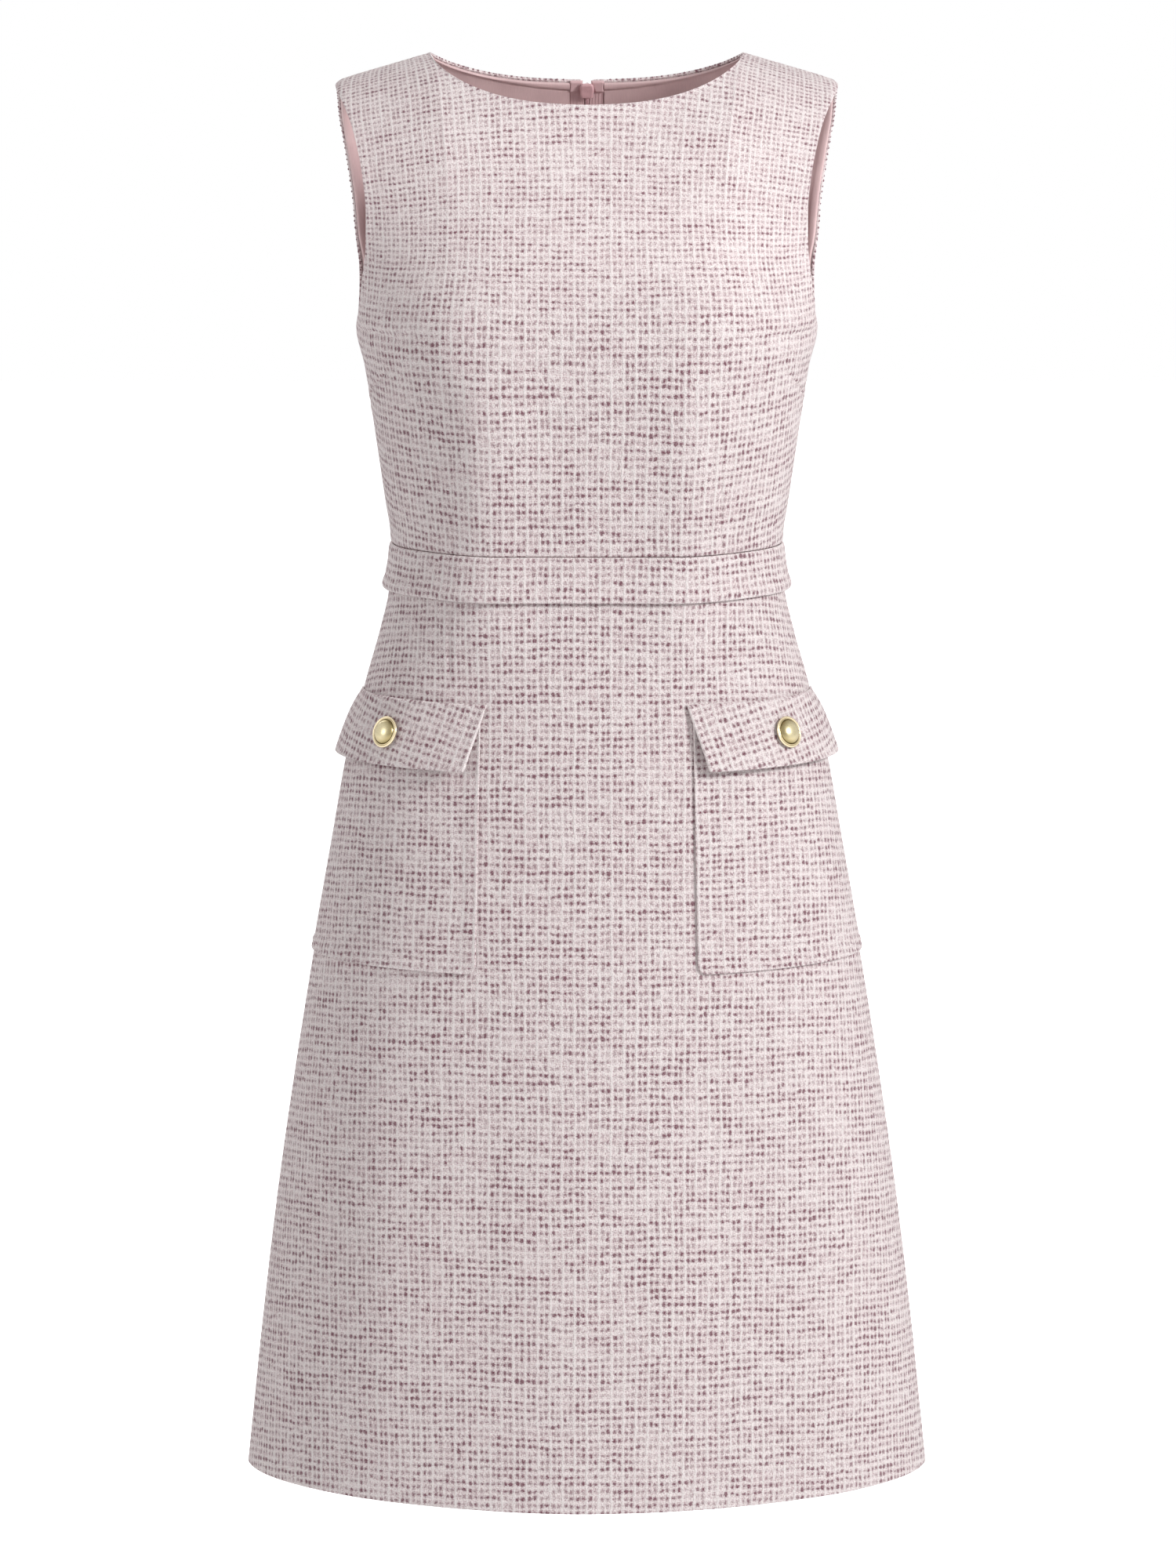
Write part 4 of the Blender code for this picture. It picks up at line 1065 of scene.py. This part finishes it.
def make_coil(plastic):
    """A closed coil: rounded loops that lock alternately from the left and from the right."""
    vertices, faces = [], []
    level, turn = COIL_TOP_Z, 1
    section = [(math.cos(a), math.sin(a)) for a in np.linspace(0, 2 * math.pi, 7)[:-1]]
    loop_faces = tube_faces(len(COIL_SPINE), len(section))
    while level > ZIP_BOTTOM_Z + 1:
        centre = back_seam(level, -TWEED - GAP - COIL_DEPTH / 2)
        down = unit(back_seam(level - 1, 0) - back_seam(level + 1, 0))
        out = unit(np.cross((1.0, 0.0, 0.0), down))
        start = len(vertices)
        for across, depth in COIL_SPINE:
            for across_wire, down_wire in section:
                point = centre + np.array((turn * across * COIL_WIDTH, 0, 0)) - out * depth * COIL_DEPTH * 0.6
                vertices.append(point + (down * down_wire + out * across_wire * 0.8) * COIL_WIRE / 2)
        faces += [tuple(start + i for i in face)[::turn] for face in loop_faces]
        level -= COIL_PITCH / 2
        turn = -turn
    ride_as(add_mesh("zip_chain_coil", vertices, faces, plastic), "zip_chain")


def seam_frame():
    """Turns (across, down the seam, out of it) into dress coordinates at the slider."""
    down = unit(back_seam(SLIDER_Z - 4, 0) - back_seam(SLIDER_Z + 4, 0))
    out = np.cross(down, (1.0, 0.0, 0.0))
    out = out if out[1] > 0 else -out
    matrix = Matrix.Identity(4)
    for column, axis in enumerate(((1.0, 0.0, 0.0), down, out)):
        for row in range(3):
            matrix[row][column] = axis[row]
    matrix.translation = Vector(back_seam(SLIDER_Z, 0))
    return matrix


def plate(name, outlines, low, high, edge, material):
    """A flat plate with rounded edges between two heights: its outline first, then any holes."""
    curve = bpy.data.curves.new(name, "CURVE")
    curve.dimensions = "2D"
    curve.fill_mode = "BOTH"
    curve.extrude = ((high - low) / 2 - edge) * MM
    curve.bevel_depth = edge * MM
    curve.bevel_resolution = 4
    curve.offset = -edge * MM
    for outline in outlines:
        spline = curve.splines.new("POLY")
        spline.points.add(len(outline) - 1)
        spline.use_cyclic_u = True
        for point, (x, t) in zip(spline.points, outline):
            point.co = (x * MM, t * MM, 0, 1)
    source = bpy.data.objects.new(name, curve)
    bpy.context.scene.collection.objects.link(source)
    bpy.context.view_layer.update()
    mesh = bpy.data.meshes.new_from_object(source.evaluated_get(bpy.context.evaluated_depsgraph_get()))
    bpy.data.objects.remove(source)
    mesh.transform(Matrix.Translation((0, 0, (low + high) / 2 * MM)))
    mesh.materials.clear()
    mesh.materials.append(material)
    mesh.shade_smooth()
    mesh.set_sharp_from_angle(angle=math.radians(35))
    obj = bpy.data.objects.new(name, mesh)
    bpy.context.scene.collection.objects.link(obj)
    return obj


def softened(points, rounds=3):
    """A closed outline with its corners cut back a few times, which rounds them."""
    for _ in range(rounds):
        following = points[1:] + points[:1]
        points = [
            (a[0] + (b[0] - a[0]) * share, a[1] + (b[1] - a[1]) * share)
            for a, b in zip(points, following)
            for share in (0.25, 0.75)
        ]
    return points


def box_outline(width, start, end):
    return [(-width / 2, start), (width / 2, start), (width / 2, end), (-width / 2, end)]


def slider_outline():
    top, bottom, half = SLIDER_TOP_WIDTH / 2, SLIDER_BOTTOM_WIDTH / 2, SLIDER_LENGTH / 2
    side = [(1.8, -half), (3.2, -half), (top - 0.5, -half + 1.3), (top, -half + 3.2), (top, -half + 6.0)]
    side += [(bottom + 0.4, half - 1.2), (bottom, half)]
    return softened(side + [(-x, t) for x, t in reversed(side)], 2)


def joined(name, pieces):
    """One object of several, keeping the first one's place."""
    bpy.ops.object.select_all(action="DESELECT")
    for piece in pieces:
        piece.select_set(True)
    bpy.context.view_layer.objects.active = pieces[0]
    bpy.ops.object.join()
    pieces[0].name = name
    return pieces[0]


def make_slider(lacquer):
    place = seam_frame()
    inside, outside = SLIDER_INSIDE, PLATE_OUTSIDE
    body = plate("slider_body", [slider_outline()], *inside, SLIDER_EDGE, lacquer)
    web = plate("slider_web", [box_outline(*SLIDER_NECK)], inside[1] - 0.4, outside[0] + 0.4, 0.2, lacquer)
    cover = plate("slider_cover", [softened(box_outline(*SLIDER_PLATE))], *outside, 0.4, lacquer)
    bail_profile = arc(BAIL_RADIUS, 0.0, BAIL_HALF, 0, 330, 12)
    vertices, faces = ring_of(bail_profile, 32, BAIL_WIDTH - 2 * BAIL_HALF)
    bail = add_mesh("slider_bail", vertices, faces, lacquer)
    slider = joined("zip_slider_lacquer", [body, web, cover, bail])
    place.translation *= MM
    slider.matrix_world = place
    ride_as(slider, "zip_slider")


def ring_of(profile, segments, stretch):
    """A ring about the x axis at the hinge, whose section is stretched along x."""
    vertices = []
    for i in range(segments):
        turn = 2 * math.pi * i / segments
        for radius, across in profile:
            x = across + math.copysign(stretch / 2, across)
            vertices.append((x, HINGE_DOWN + radius * math.cos(turn), HINGE_OUT + radius * math.sin(turn)))
    return vertices, [face[::-1] for face in tube_faces(segments, len(profile), closed=True)]


def make_pull(lacquer):
    outline = [(width, t) for t, width in PULL_OUTLINE]
    outline = outline + [(0.0, PULL_LENGTH)] + [(-x, t) for x, t in reversed(outline)]
    eye = softened(box_outline(*PULL_EYE), 2)[::-1]
    half = PULL_THICKNESS / 2
    pull = plate("zip_pull_lacquer", [softened(outline, 2), eye], -half, half, 0.3, lacquer)
    hinge = seam_frame() @ Matrix.Translation((0.0, HINGE_DOWN, HINGE_OUT))
    hinge.translation *= MM
    pull.matrix_world = hinge
    ride_as(pull, "zip_pull", "zip_pull")


# Materials


def srgb(red, green, blue):
    """A colour written as 0 to 255, as the linear values that a shader takes."""
    values = [value / 255 for value in (red, green, blue)]
    return tuple(v / 12.92 if v <= 0.04045 else ((v + 0.055) / 1.055) ** 2.4 for v in values) + (1.0,)


class Value:
    """A socket that takes part in sums as a number does. Each step adds a node."""

    def __init__(self, graph, socket):
        self.graph, self.socket = graph, socket

    def __add__(self, other):
        return self.graph.math("ADD", self, other)

    def __sub__(self, other):
        return self.graph.math("SUBTRACT", self, other)

    def __rsub__(self, other):
        return self.graph.math("SUBTRACT", other, self)

    def __mul__(self, other):
        return self.graph.math("MULTIPLY", self, other)

    def __truediv__(self, other):
        return self.graph.math("DIVIDE", self, other)

    __radd__, __rmul__ = __add__, __mul__


class Graph:
    """The nodes of a material or of the world, made by short calls that return values."""

    def __init__(self, owner, shader="Principled BSDF", **settings):
        owner.use_nodes = True
        self.owner, self.tree = owner, owner.node_tree
        self.shader = self.tree.nodes[shader]
        self.settings(**settings)

    def settings(self, **values):
        """Sets inputs of the shader: Base_Color stands for "Base Color"."""
        for name, value in values.items():
            self.set(self.shader.inputs[name.replace("_", " ")], value)

    def set(self, socket, value):
        if isinstance(value, Value):
            self.tree.links.new(value.socket, socket)
        else:
            socket.default_value = value

    def node(self, kind, inputs=(), output=0, **settings):
        made = self.tree.nodes.new(kind)
        for name, value in settings.items():
            setattr(made, name, value)
        for key, value in dict(inputs).items():
            self.set(made.inputs[key], value)
        return Value(self, made.outputs[output])

    def math(self, operation, *values, clamp=False):
        return self.node("ShaderNodeMath", enumerate(values), operation=operation, use_clamp=clamp)

    def ramp(self, value, low, high, start=0.0, end=1.0):
        """A smooth step from start to end as value goes from low to high."""
        inputs = {"Value": value, "From Min": low, "From Max": high, "To Min": start, "To Max": end}
        return self.node("ShaderNodeMapRange", inputs, interpolation_type="SMOOTHSTEP")

    def vector(self, operation, *vectors, output=0):
        return self.node("ShaderNodeVectorMath", enumerate(vectors), output, operation=operation)

    def pair(self, x, y):
        return self.node("ShaderNodeCombineXYZ", {"X": x, "Y": y})

    def part(self, vector, axis):
        return self.node("ShaderNodeSeparateXYZ", {0: vector}, axis)

    def noise(self, vector, scale, detail=2.0, roughness=0.5, dimensions="2D", output="Fac"):
        inputs = {"Vector": vector, "Scale": scale, "Detail": detail, "Roughness": roughness}
        return self.node("ShaderNodeTexNoise", inputs, output, noise_dimensions=dimensions)

    def streaks(self, vector, stretch, detail, roughness=0.5, dimensions="2D"):
        """Noise with its own scale along each axis."""
        return self.noise(self.vector("MULTIPLY", vector, stretch), 1.0, detail, roughness, dimensions)

    def random(self, x, y):
        place = {"Vector": self.pair(x, y)}
        return self.node("ShaderNodeTexWhiteNoise", place, "Value", noise_dimensions="2D")

    def mix(self, share, a, b, blend="MIX"):
        return self.node("ShaderNodeMix", {0: share, 6: a, 7: b}, 2, data_type="RGBA", blend_type=blend)

    def object_place(self):
        return self.node("ShaderNodeTexCoord", output="Object")

    def cloth(self):
        """Where a point is on the cloth laid flat, in millimetres."""
        return self.vector("MULTIPLY", self.node("ShaderNodeUVMap", uv_map="weave"), (1 / MM, 1 / MM, 0.0))

    def seen(self):
        """1 for the rays that show a thing itself, 0 for those that only take its light elsewhere."""
        path = self.tree.nodes.new("ShaderNodeLightPath").outputs
        kinds = "Camera", "Glossy", "Transmission"
        camera, glossy, through = (Value(self, path[f"Is {kind} Ray"]) for kind in kinds)
        return self.math("MAXIMUM", self.math("MAXIMUM", camera, glossy), through)

    def bump(self, height, distance):
        inputs = {"Height": height, "Distance": distance * MM, "Strength": 1.0}
        self.settings(Normal=self.node("ShaderNodeBump", inputs))


def new_material(name, roughness, metallic=0.0, **settings):
    settings.update(Roughness=roughness, Metallic=metallic)
    return Graph(bpy.data.materials.new(name), **settings)


CREAM = srgb(255, 246, 245)
ROSE = srgb(204, 173, 178)
MAUVE = srgb(126, 78, 91)
CHEST_Z = (-222.0, -118.0)  # the weave is finer above the bust, and painted paler with less contrast there, as painted light for the more frontal light on the chest: the start of that, and its full
# How the threads wander: the scale of each noise, and how far it moves them in millimetres
WANDER = ((0.013, (3.2, 4.2, 0.0)), (0.2, (1.3, 1.5, 0.0)), (0.85, (1.0, 1.0, 0.0)))
WARP_LINE = (0.06, 0.115)  # shares of the pitch at which a white line starts to fade, and is gone
THIN_LINE = (0.425, 0.475)  # the same for the thin line halfway between two white ones
DOT_PLACE, DOT_REACH = 0.285, (0.06, 0.145)
YARN_SHADE = 0.85  # how dark the bumps of yarn are
TAPE_RIB, TAPE_PICK = 0.7, 0.5


def make_tweed():
    """An open check: white warp lines, and rows of mauve dashes with two darker dots between each two."""
    g = new_material("checked_tweed", 0.92, Sheen_Weight=0.15, Sheen_Roughness=0.55, Specular_IOR_Level=0.18)
    cloth = g.cloth()
    place = cloth
    for scale, reach in WANDER:
        drift = g.vector("SUBTRACT", g.noise(cloth, scale, 1.0, output="Color"), (0.5, 0.5, 0.5))
        place = g.vector("ADD", place, g.vector("MULTIPLY", drift, reach))
    x, y = g.part(place, "X"), g.part(place, "Y")
    # painted light: on the chest the weave's colour is paler and lower in contrast, as under the more frontal
    # light there
    chest = g.ramp(g.part(g.object_place(), "Z"), CHEST_Z[0] * MM, CHEST_Z[1] * MM)

    # Where a point is in the check: its row and column, and how far it is from the middle of each
    across, down = x / WARP_PITCH, y / WEFT_PITCH
    row, half = g.math("FLOOR", down), g.math("FLOOR", across * 2.0)
    in_column = g.math("FRACT", across)
    from_line = g.math("MINIMUM", in_column, 1.0 - in_column)
    sway = (g.noise(g.pair(x * 0.05, row * 7.31), 1.0, 1.0) - 0.5) * 0.36
    dash_shift = (g.random(half + 71.3, row) - 0.5) * 0.16
    from_row = g.math("ABSOLUTE", g.math("FRACT", down) + sway + dash_shift - 0.5)

    # Unevenness: of each dash, along the rows, over the cloth, and of the fibres
    dash_random = g.random(half, row)
    slub = g.ramp(g.noise(g.pair(x * 0.032, row * 3.17), 1.0, 2.0), 0.33, 0.68)
    streak = g.ramp(g.streaks(cloth, (0.03, 0.075, 0.0), 3.0), 0.3, 0.7)
    strokes_across = g.streaks(cloth, (0.6, 1.5, 0.0), 2.0, 0.6)
    strokes = strokes_across + g.streaks(cloth, (1.6, 0.5, 0.0), 2.0, 0.6)
    fleck = g.ramp(g.noise(cloth, 1.15, 3.0, 0.65), 0.36, 0.64)

    # The white lines, and the share of the ground between them
    line_noise = g.noise(g.pair(g.math("ROUND", across) * 3.37, y * 0.07), 1.0, 3.0)
    line = g.ramp(from_line, *WARP_LINE, 1.0, 0.0) * g.ramp(strokes, 0.6, 0.95, 0.6, 1.0)
    line = line * g.ramp(line_noise, 0.3, 0.6, 0.5, 1.0)
    thin_line = g.ramp(from_line, *THIN_LINE) * (0.4 + 0.25 * chest) * g.ramp(strokes, 0.6, 0.95)
    between_rows = g.ramp(from_row + 0.1 * strokes_across, 0.4, 0.52, 0.0, 0.55)
    cell = (1.0 - 0.92 * line) * (1.0 - thin_line) * (1.0 - between_rows)

    # The dashes of the rows, the threads that run down through the dots, and the tint of the ground
    dot = g.ramp(g.math("ABSOLUTE", from_line - DOT_PLACE), *DOT_REACH, 1.0, 0.0)
    width = (0.16 + 0.13 * dash_random) * (1.0 - 0.16 * chest)
    row_mask = g.ramp(from_row, width * 0.5, width * 1.3, 1.0, 0.0)
    strength = (0.42 + 0.62 * dash_random) * (0.52 + 0.6 * slub) * (0.76 + 0.38 * streak)
    strength = strength * (1.0 - 0.2 * chest)
    core = g.ramp(from_row, 0.05, 0.13, 1.0, 0.0) * (1.0 - 0.6 * line) * slub
    dash = row_mask * ((0.36 + 0.64 * dot) * cell + 0.3 * core) * strength
    thread_noise = g.noise(g.pair(half * 5.77, y * 0.11), 1.0, 2.0)
    thread = dot * g.ramp(thread_noise, 0.4, 0.75) * 0.45 * cell * (1.0 - 0.2 * chest)
    hatch = g.ramp(strokes, 0.78, 1.2, 1.0, 0.0)
    ground = (0.82 * hatch + 0.24 * streak) * (0.46 + 0.7 * fleck) * cell * (1.0 + 0.08 * chest)

    tinted = g.mix(g.math("MINIMUM", ground, 1.0), CREAM, ROSE)
    marked = g.mix(g.math("ADD", dash, thread, clamp=True) * (0.72 + 0.4 * fleck), tinted, MAUVE)
    yarn = g.node("ShaderNodeAttribute", output="Fac", attribute_name="yarn")
    marked = g.mix(YARN_SHADE * yarn, marked, MAUVE)
    shade = 0.93 + 0.07 * g.ramp(strokes, 0.7, 1.1)
    grey = g.node("ShaderNodeCombineColor", {0: shade, 1: shade, 2: shade})
    g.settings(Base_Color=g.mix(1.0, marked, grey, "MULTIPLY"))
    beads = 0.9 * g.ramp(from_row, 0.0, 0.5, 0.6, 1.0)
    relief = line * beads + 0.6 * dash + 1.1 * strokes + 0.35 * fleck
    g.bump(relief * (1.0 - 0.45 * chest), 0.5)
    return g.owner


def make_satin():
    g = new_material("lining_satin", 0.42, Sheen_Weight=0.12, Specular_IOR_Level=0.35)
    cloth = g.cloth()
    cloudy = g.noise(cloth, 0.035, 2.0)
    threads = g.streaks(cloth, (2.6, 0.12, 0.0), 2.0, 0.6)
    tone = g.ramp(cloudy * 0.6 + threads * 0.4, 0.3, 0.7)
    g.settings(Base_Color=g.mix(tone, srgb(212, 183, 184), srgb(227, 199, 199)))
    g.bump(threads + g.noise(cloth, 0.02, 2.0) * 4.0, 0.08)
    return g.owner


def make_tape_cloth():
    g = new_material("zip_tape_weave", 0.7)
    cloth = g.cloth()
    ribs = g.math("SINE", g.part(cloth, "X") * (2 * math.pi / TAPE_RIB))
    picks = g.math("SINE", g.part(cloth, "Y") * (2 * math.pi / TAPE_PICK))
    weave = 0.5 + 0.5 * ribs * picks
    g.settings(Base_Color=g.mix(weave, srgb(212, 176, 179), srgb(230, 198, 200)))
    g.bump(weave, 0.12)
    return g.owner


def make_lacquer():
    """Sprayed colour on the slider and its pull, with a little orange peel."""
    g = new_material("slider_lacquer", 0.38)
    place = g.object_place()
    wear_and_painted_shade = g.ramp(g.noise(place, 260.0, 3.0, dimensions="3D"), 0.35, 0.7)
    g.settings(Base_Color=g.mix(wear_and_painted_shade, srgb(204, 163, 167), srgb(216, 176, 180)))
    g.bump(g.noise(place, 900.0, 2.0, dimensions="3D"), 0.03)
    return g.owner


def make_coil_plastic():
    g = new_material("coil_plastic", 0.45)
    tone = g.noise(g.object_place(), 300.0, 1.0, dimensions="3D")
    g.settings(Base_Color=g.mix(tone, srgb(186, 146, 151), srgb(206, 168, 172)))
    return g.owner


def make_gold():
    """Brushed pale gold. The dome darkens towards where it meets its ring, painted shade for the gold's dim
    reflections of itself there, and the ring is paler, a painted reflection of the cream cloth.
    """
    g = new_material("button_gold", 0.3, 1.0)
    place = g.object_place()
    radius = g.vector("LENGTH", g.vector("MULTIPLY", place, (1 / MM, 1 / MM, 0.0)), output="Value")
    scratches = g.streaks(place, (900.0, 2600.0, 900.0), 3.0, 0.6, "3D")
    cloudy = g.noise(place, 180.0, 2.0, dimensions="3D")
    plain = g.mix(cloudy, srgb(196, 184, 148), srgb(212, 200, 166))
    # painted shade: the dome darker towards its foot, for the gold's dim reflections of itself there
    wear_and_painted_shade = g.mix(g.ramp(radius, 3.5, 8.2), plain, srgb(150, 136, 98))
    # painted reflection: the ring paler, as if it reflected the cream cloth round it
    rim = g.mix(g.ramp(radius, 8.6, 9.4), wear_and_painted_shade, srgb(214, 200, 168))
    g.settings(Base_Color=rim, Roughness=g.ramp(scratches, 0.3, 0.7, 0.24, 0.36))
    g.bump(scratches, 0.004)
    return g.owner


# The stage

FLOOR_Z, FLOOR_HALF = -1.42, 12.0  # where the wearer would stand, and half the floor's size
FLOOR_FADE = (0.3, 1.3)  # between which distances from its middle the floor turns white
WHITE = (1.0, 1.0, 1.0, 1.0)
CAMERA_AT = Vector((0.0008, -5.400, 0.310))
CAMERA_PITCH = 8.616
CAMERA_LENS, CAMERA_SENSOR = 180.0, 36.0
AMBIENT = 0.43
LAMPS_AIM = Vector((0.0, 0.0, -0.45))
LAMPS = (  # name, position, width and power in watts
    ("key", (2.36, -1.98, 0.99), 0.7, 80.0),
    ("fill", (-2.86, -1.52, 0.6), 1.6, 18.0),
    ("back", (-0.9, 3.2, 1.3), 2.2, 50.0),
)


def make_floor():
    mesh = bpy.data.meshes.new("floor")
    corners = [(x * FLOOR_HALF, y * FLOOR_HALF, 0.0) for x, y in ((-1, -1), (1, -1), (1, 1), (-1, 1))]
    mesh.from_pydata(corners, [], [(0, 1, 2, 3)])
    floor = bpy.data.objects.new("floor", mesh)
    floor.location = (0.0, 0.0, FLOOR_Z)
    bpy.context.scene.collection.objects.link(floor)
    g = new_material("floor_paper", 0.9, Specular_IOR_Level=0.0, Emission_Color=WHITE)
    place = g.object_place()
    grain = g.noise(place, 3.0, 2.0, dimensions="3D")
    away = g.ramp(g.vector("LENGTH", place, output="Value"), *FLOOR_FADE, 0.35, 1.0)
    g.settings(Base_Color=g.mix(grain, (0.93, 0.93, 0.93, 1.0), (0.96, 0.96, 0.96, 1.0)))
    g.settings(Emission_Strength=g.seen() * away)
    mesh.materials.append(g.owner)


def make_world():
    world = bpy.data.worlds.new("studio")
    bpy.context.scene.world = world
    g = Graph(world, "Background", Color=WHITE)
    g.settings(Strength=g.ramp(g.seen(), 0.0, 1.0, AMBIENT, 1.0))


def make_lamps():
    for name, at, size, power in LAMPS:
        lamp = bpy.data.lights.new(name, "AREA")
        lamp.shape = "SQUARE"
        lamp.size, lamp.energy = size, power
        obj = bpy.data.objects.new(name, lamp)
        obj.location = at
        obj.rotation_euler = (LAMPS_AIM - Vector(at)).to_track_quat("-Z", "Y").to_euler()
        bpy.context.scene.collection.objects.link(obj)


def make_camera():
    camera = bpy.data.cameras.new("camera")
    camera.lens, camera.sensor_width = CAMERA_LENS, CAMERA_SENSOR
    obj = bpy.data.objects.new("camera", camera)
    obj.location = CAMERA_AT
    obj.rotation_euler = (math.radians(90 - CAMERA_PITCH), 0.0, 0.0)
    bpy.context.scene.collection.objects.link(obj)
    bpy.context.scene.camera = obj


def main():
    bpy.context.scene.view_settings.view_transform = "Standard"
    make_camera()
    make_world()
    make_lamps()
    make_floor()
    tweed, satin, tape = make_tweed(), make_satin(), make_tape_cloth()
    lacquer, gold = make_lacquer(), make_gold()
    make_bodice(tweed)
    make_lining(satin)
    make_waistband(tweed)
    make_skirt(tweed)
    make_patches(tweed)
    make_flaps(tweed)
    make_buttons(gold)
    make_zip_tapes(tape)
    make_coil(make_coil_plastic())
    make_slider(lacquer)
    make_pull(lacquer)


main()
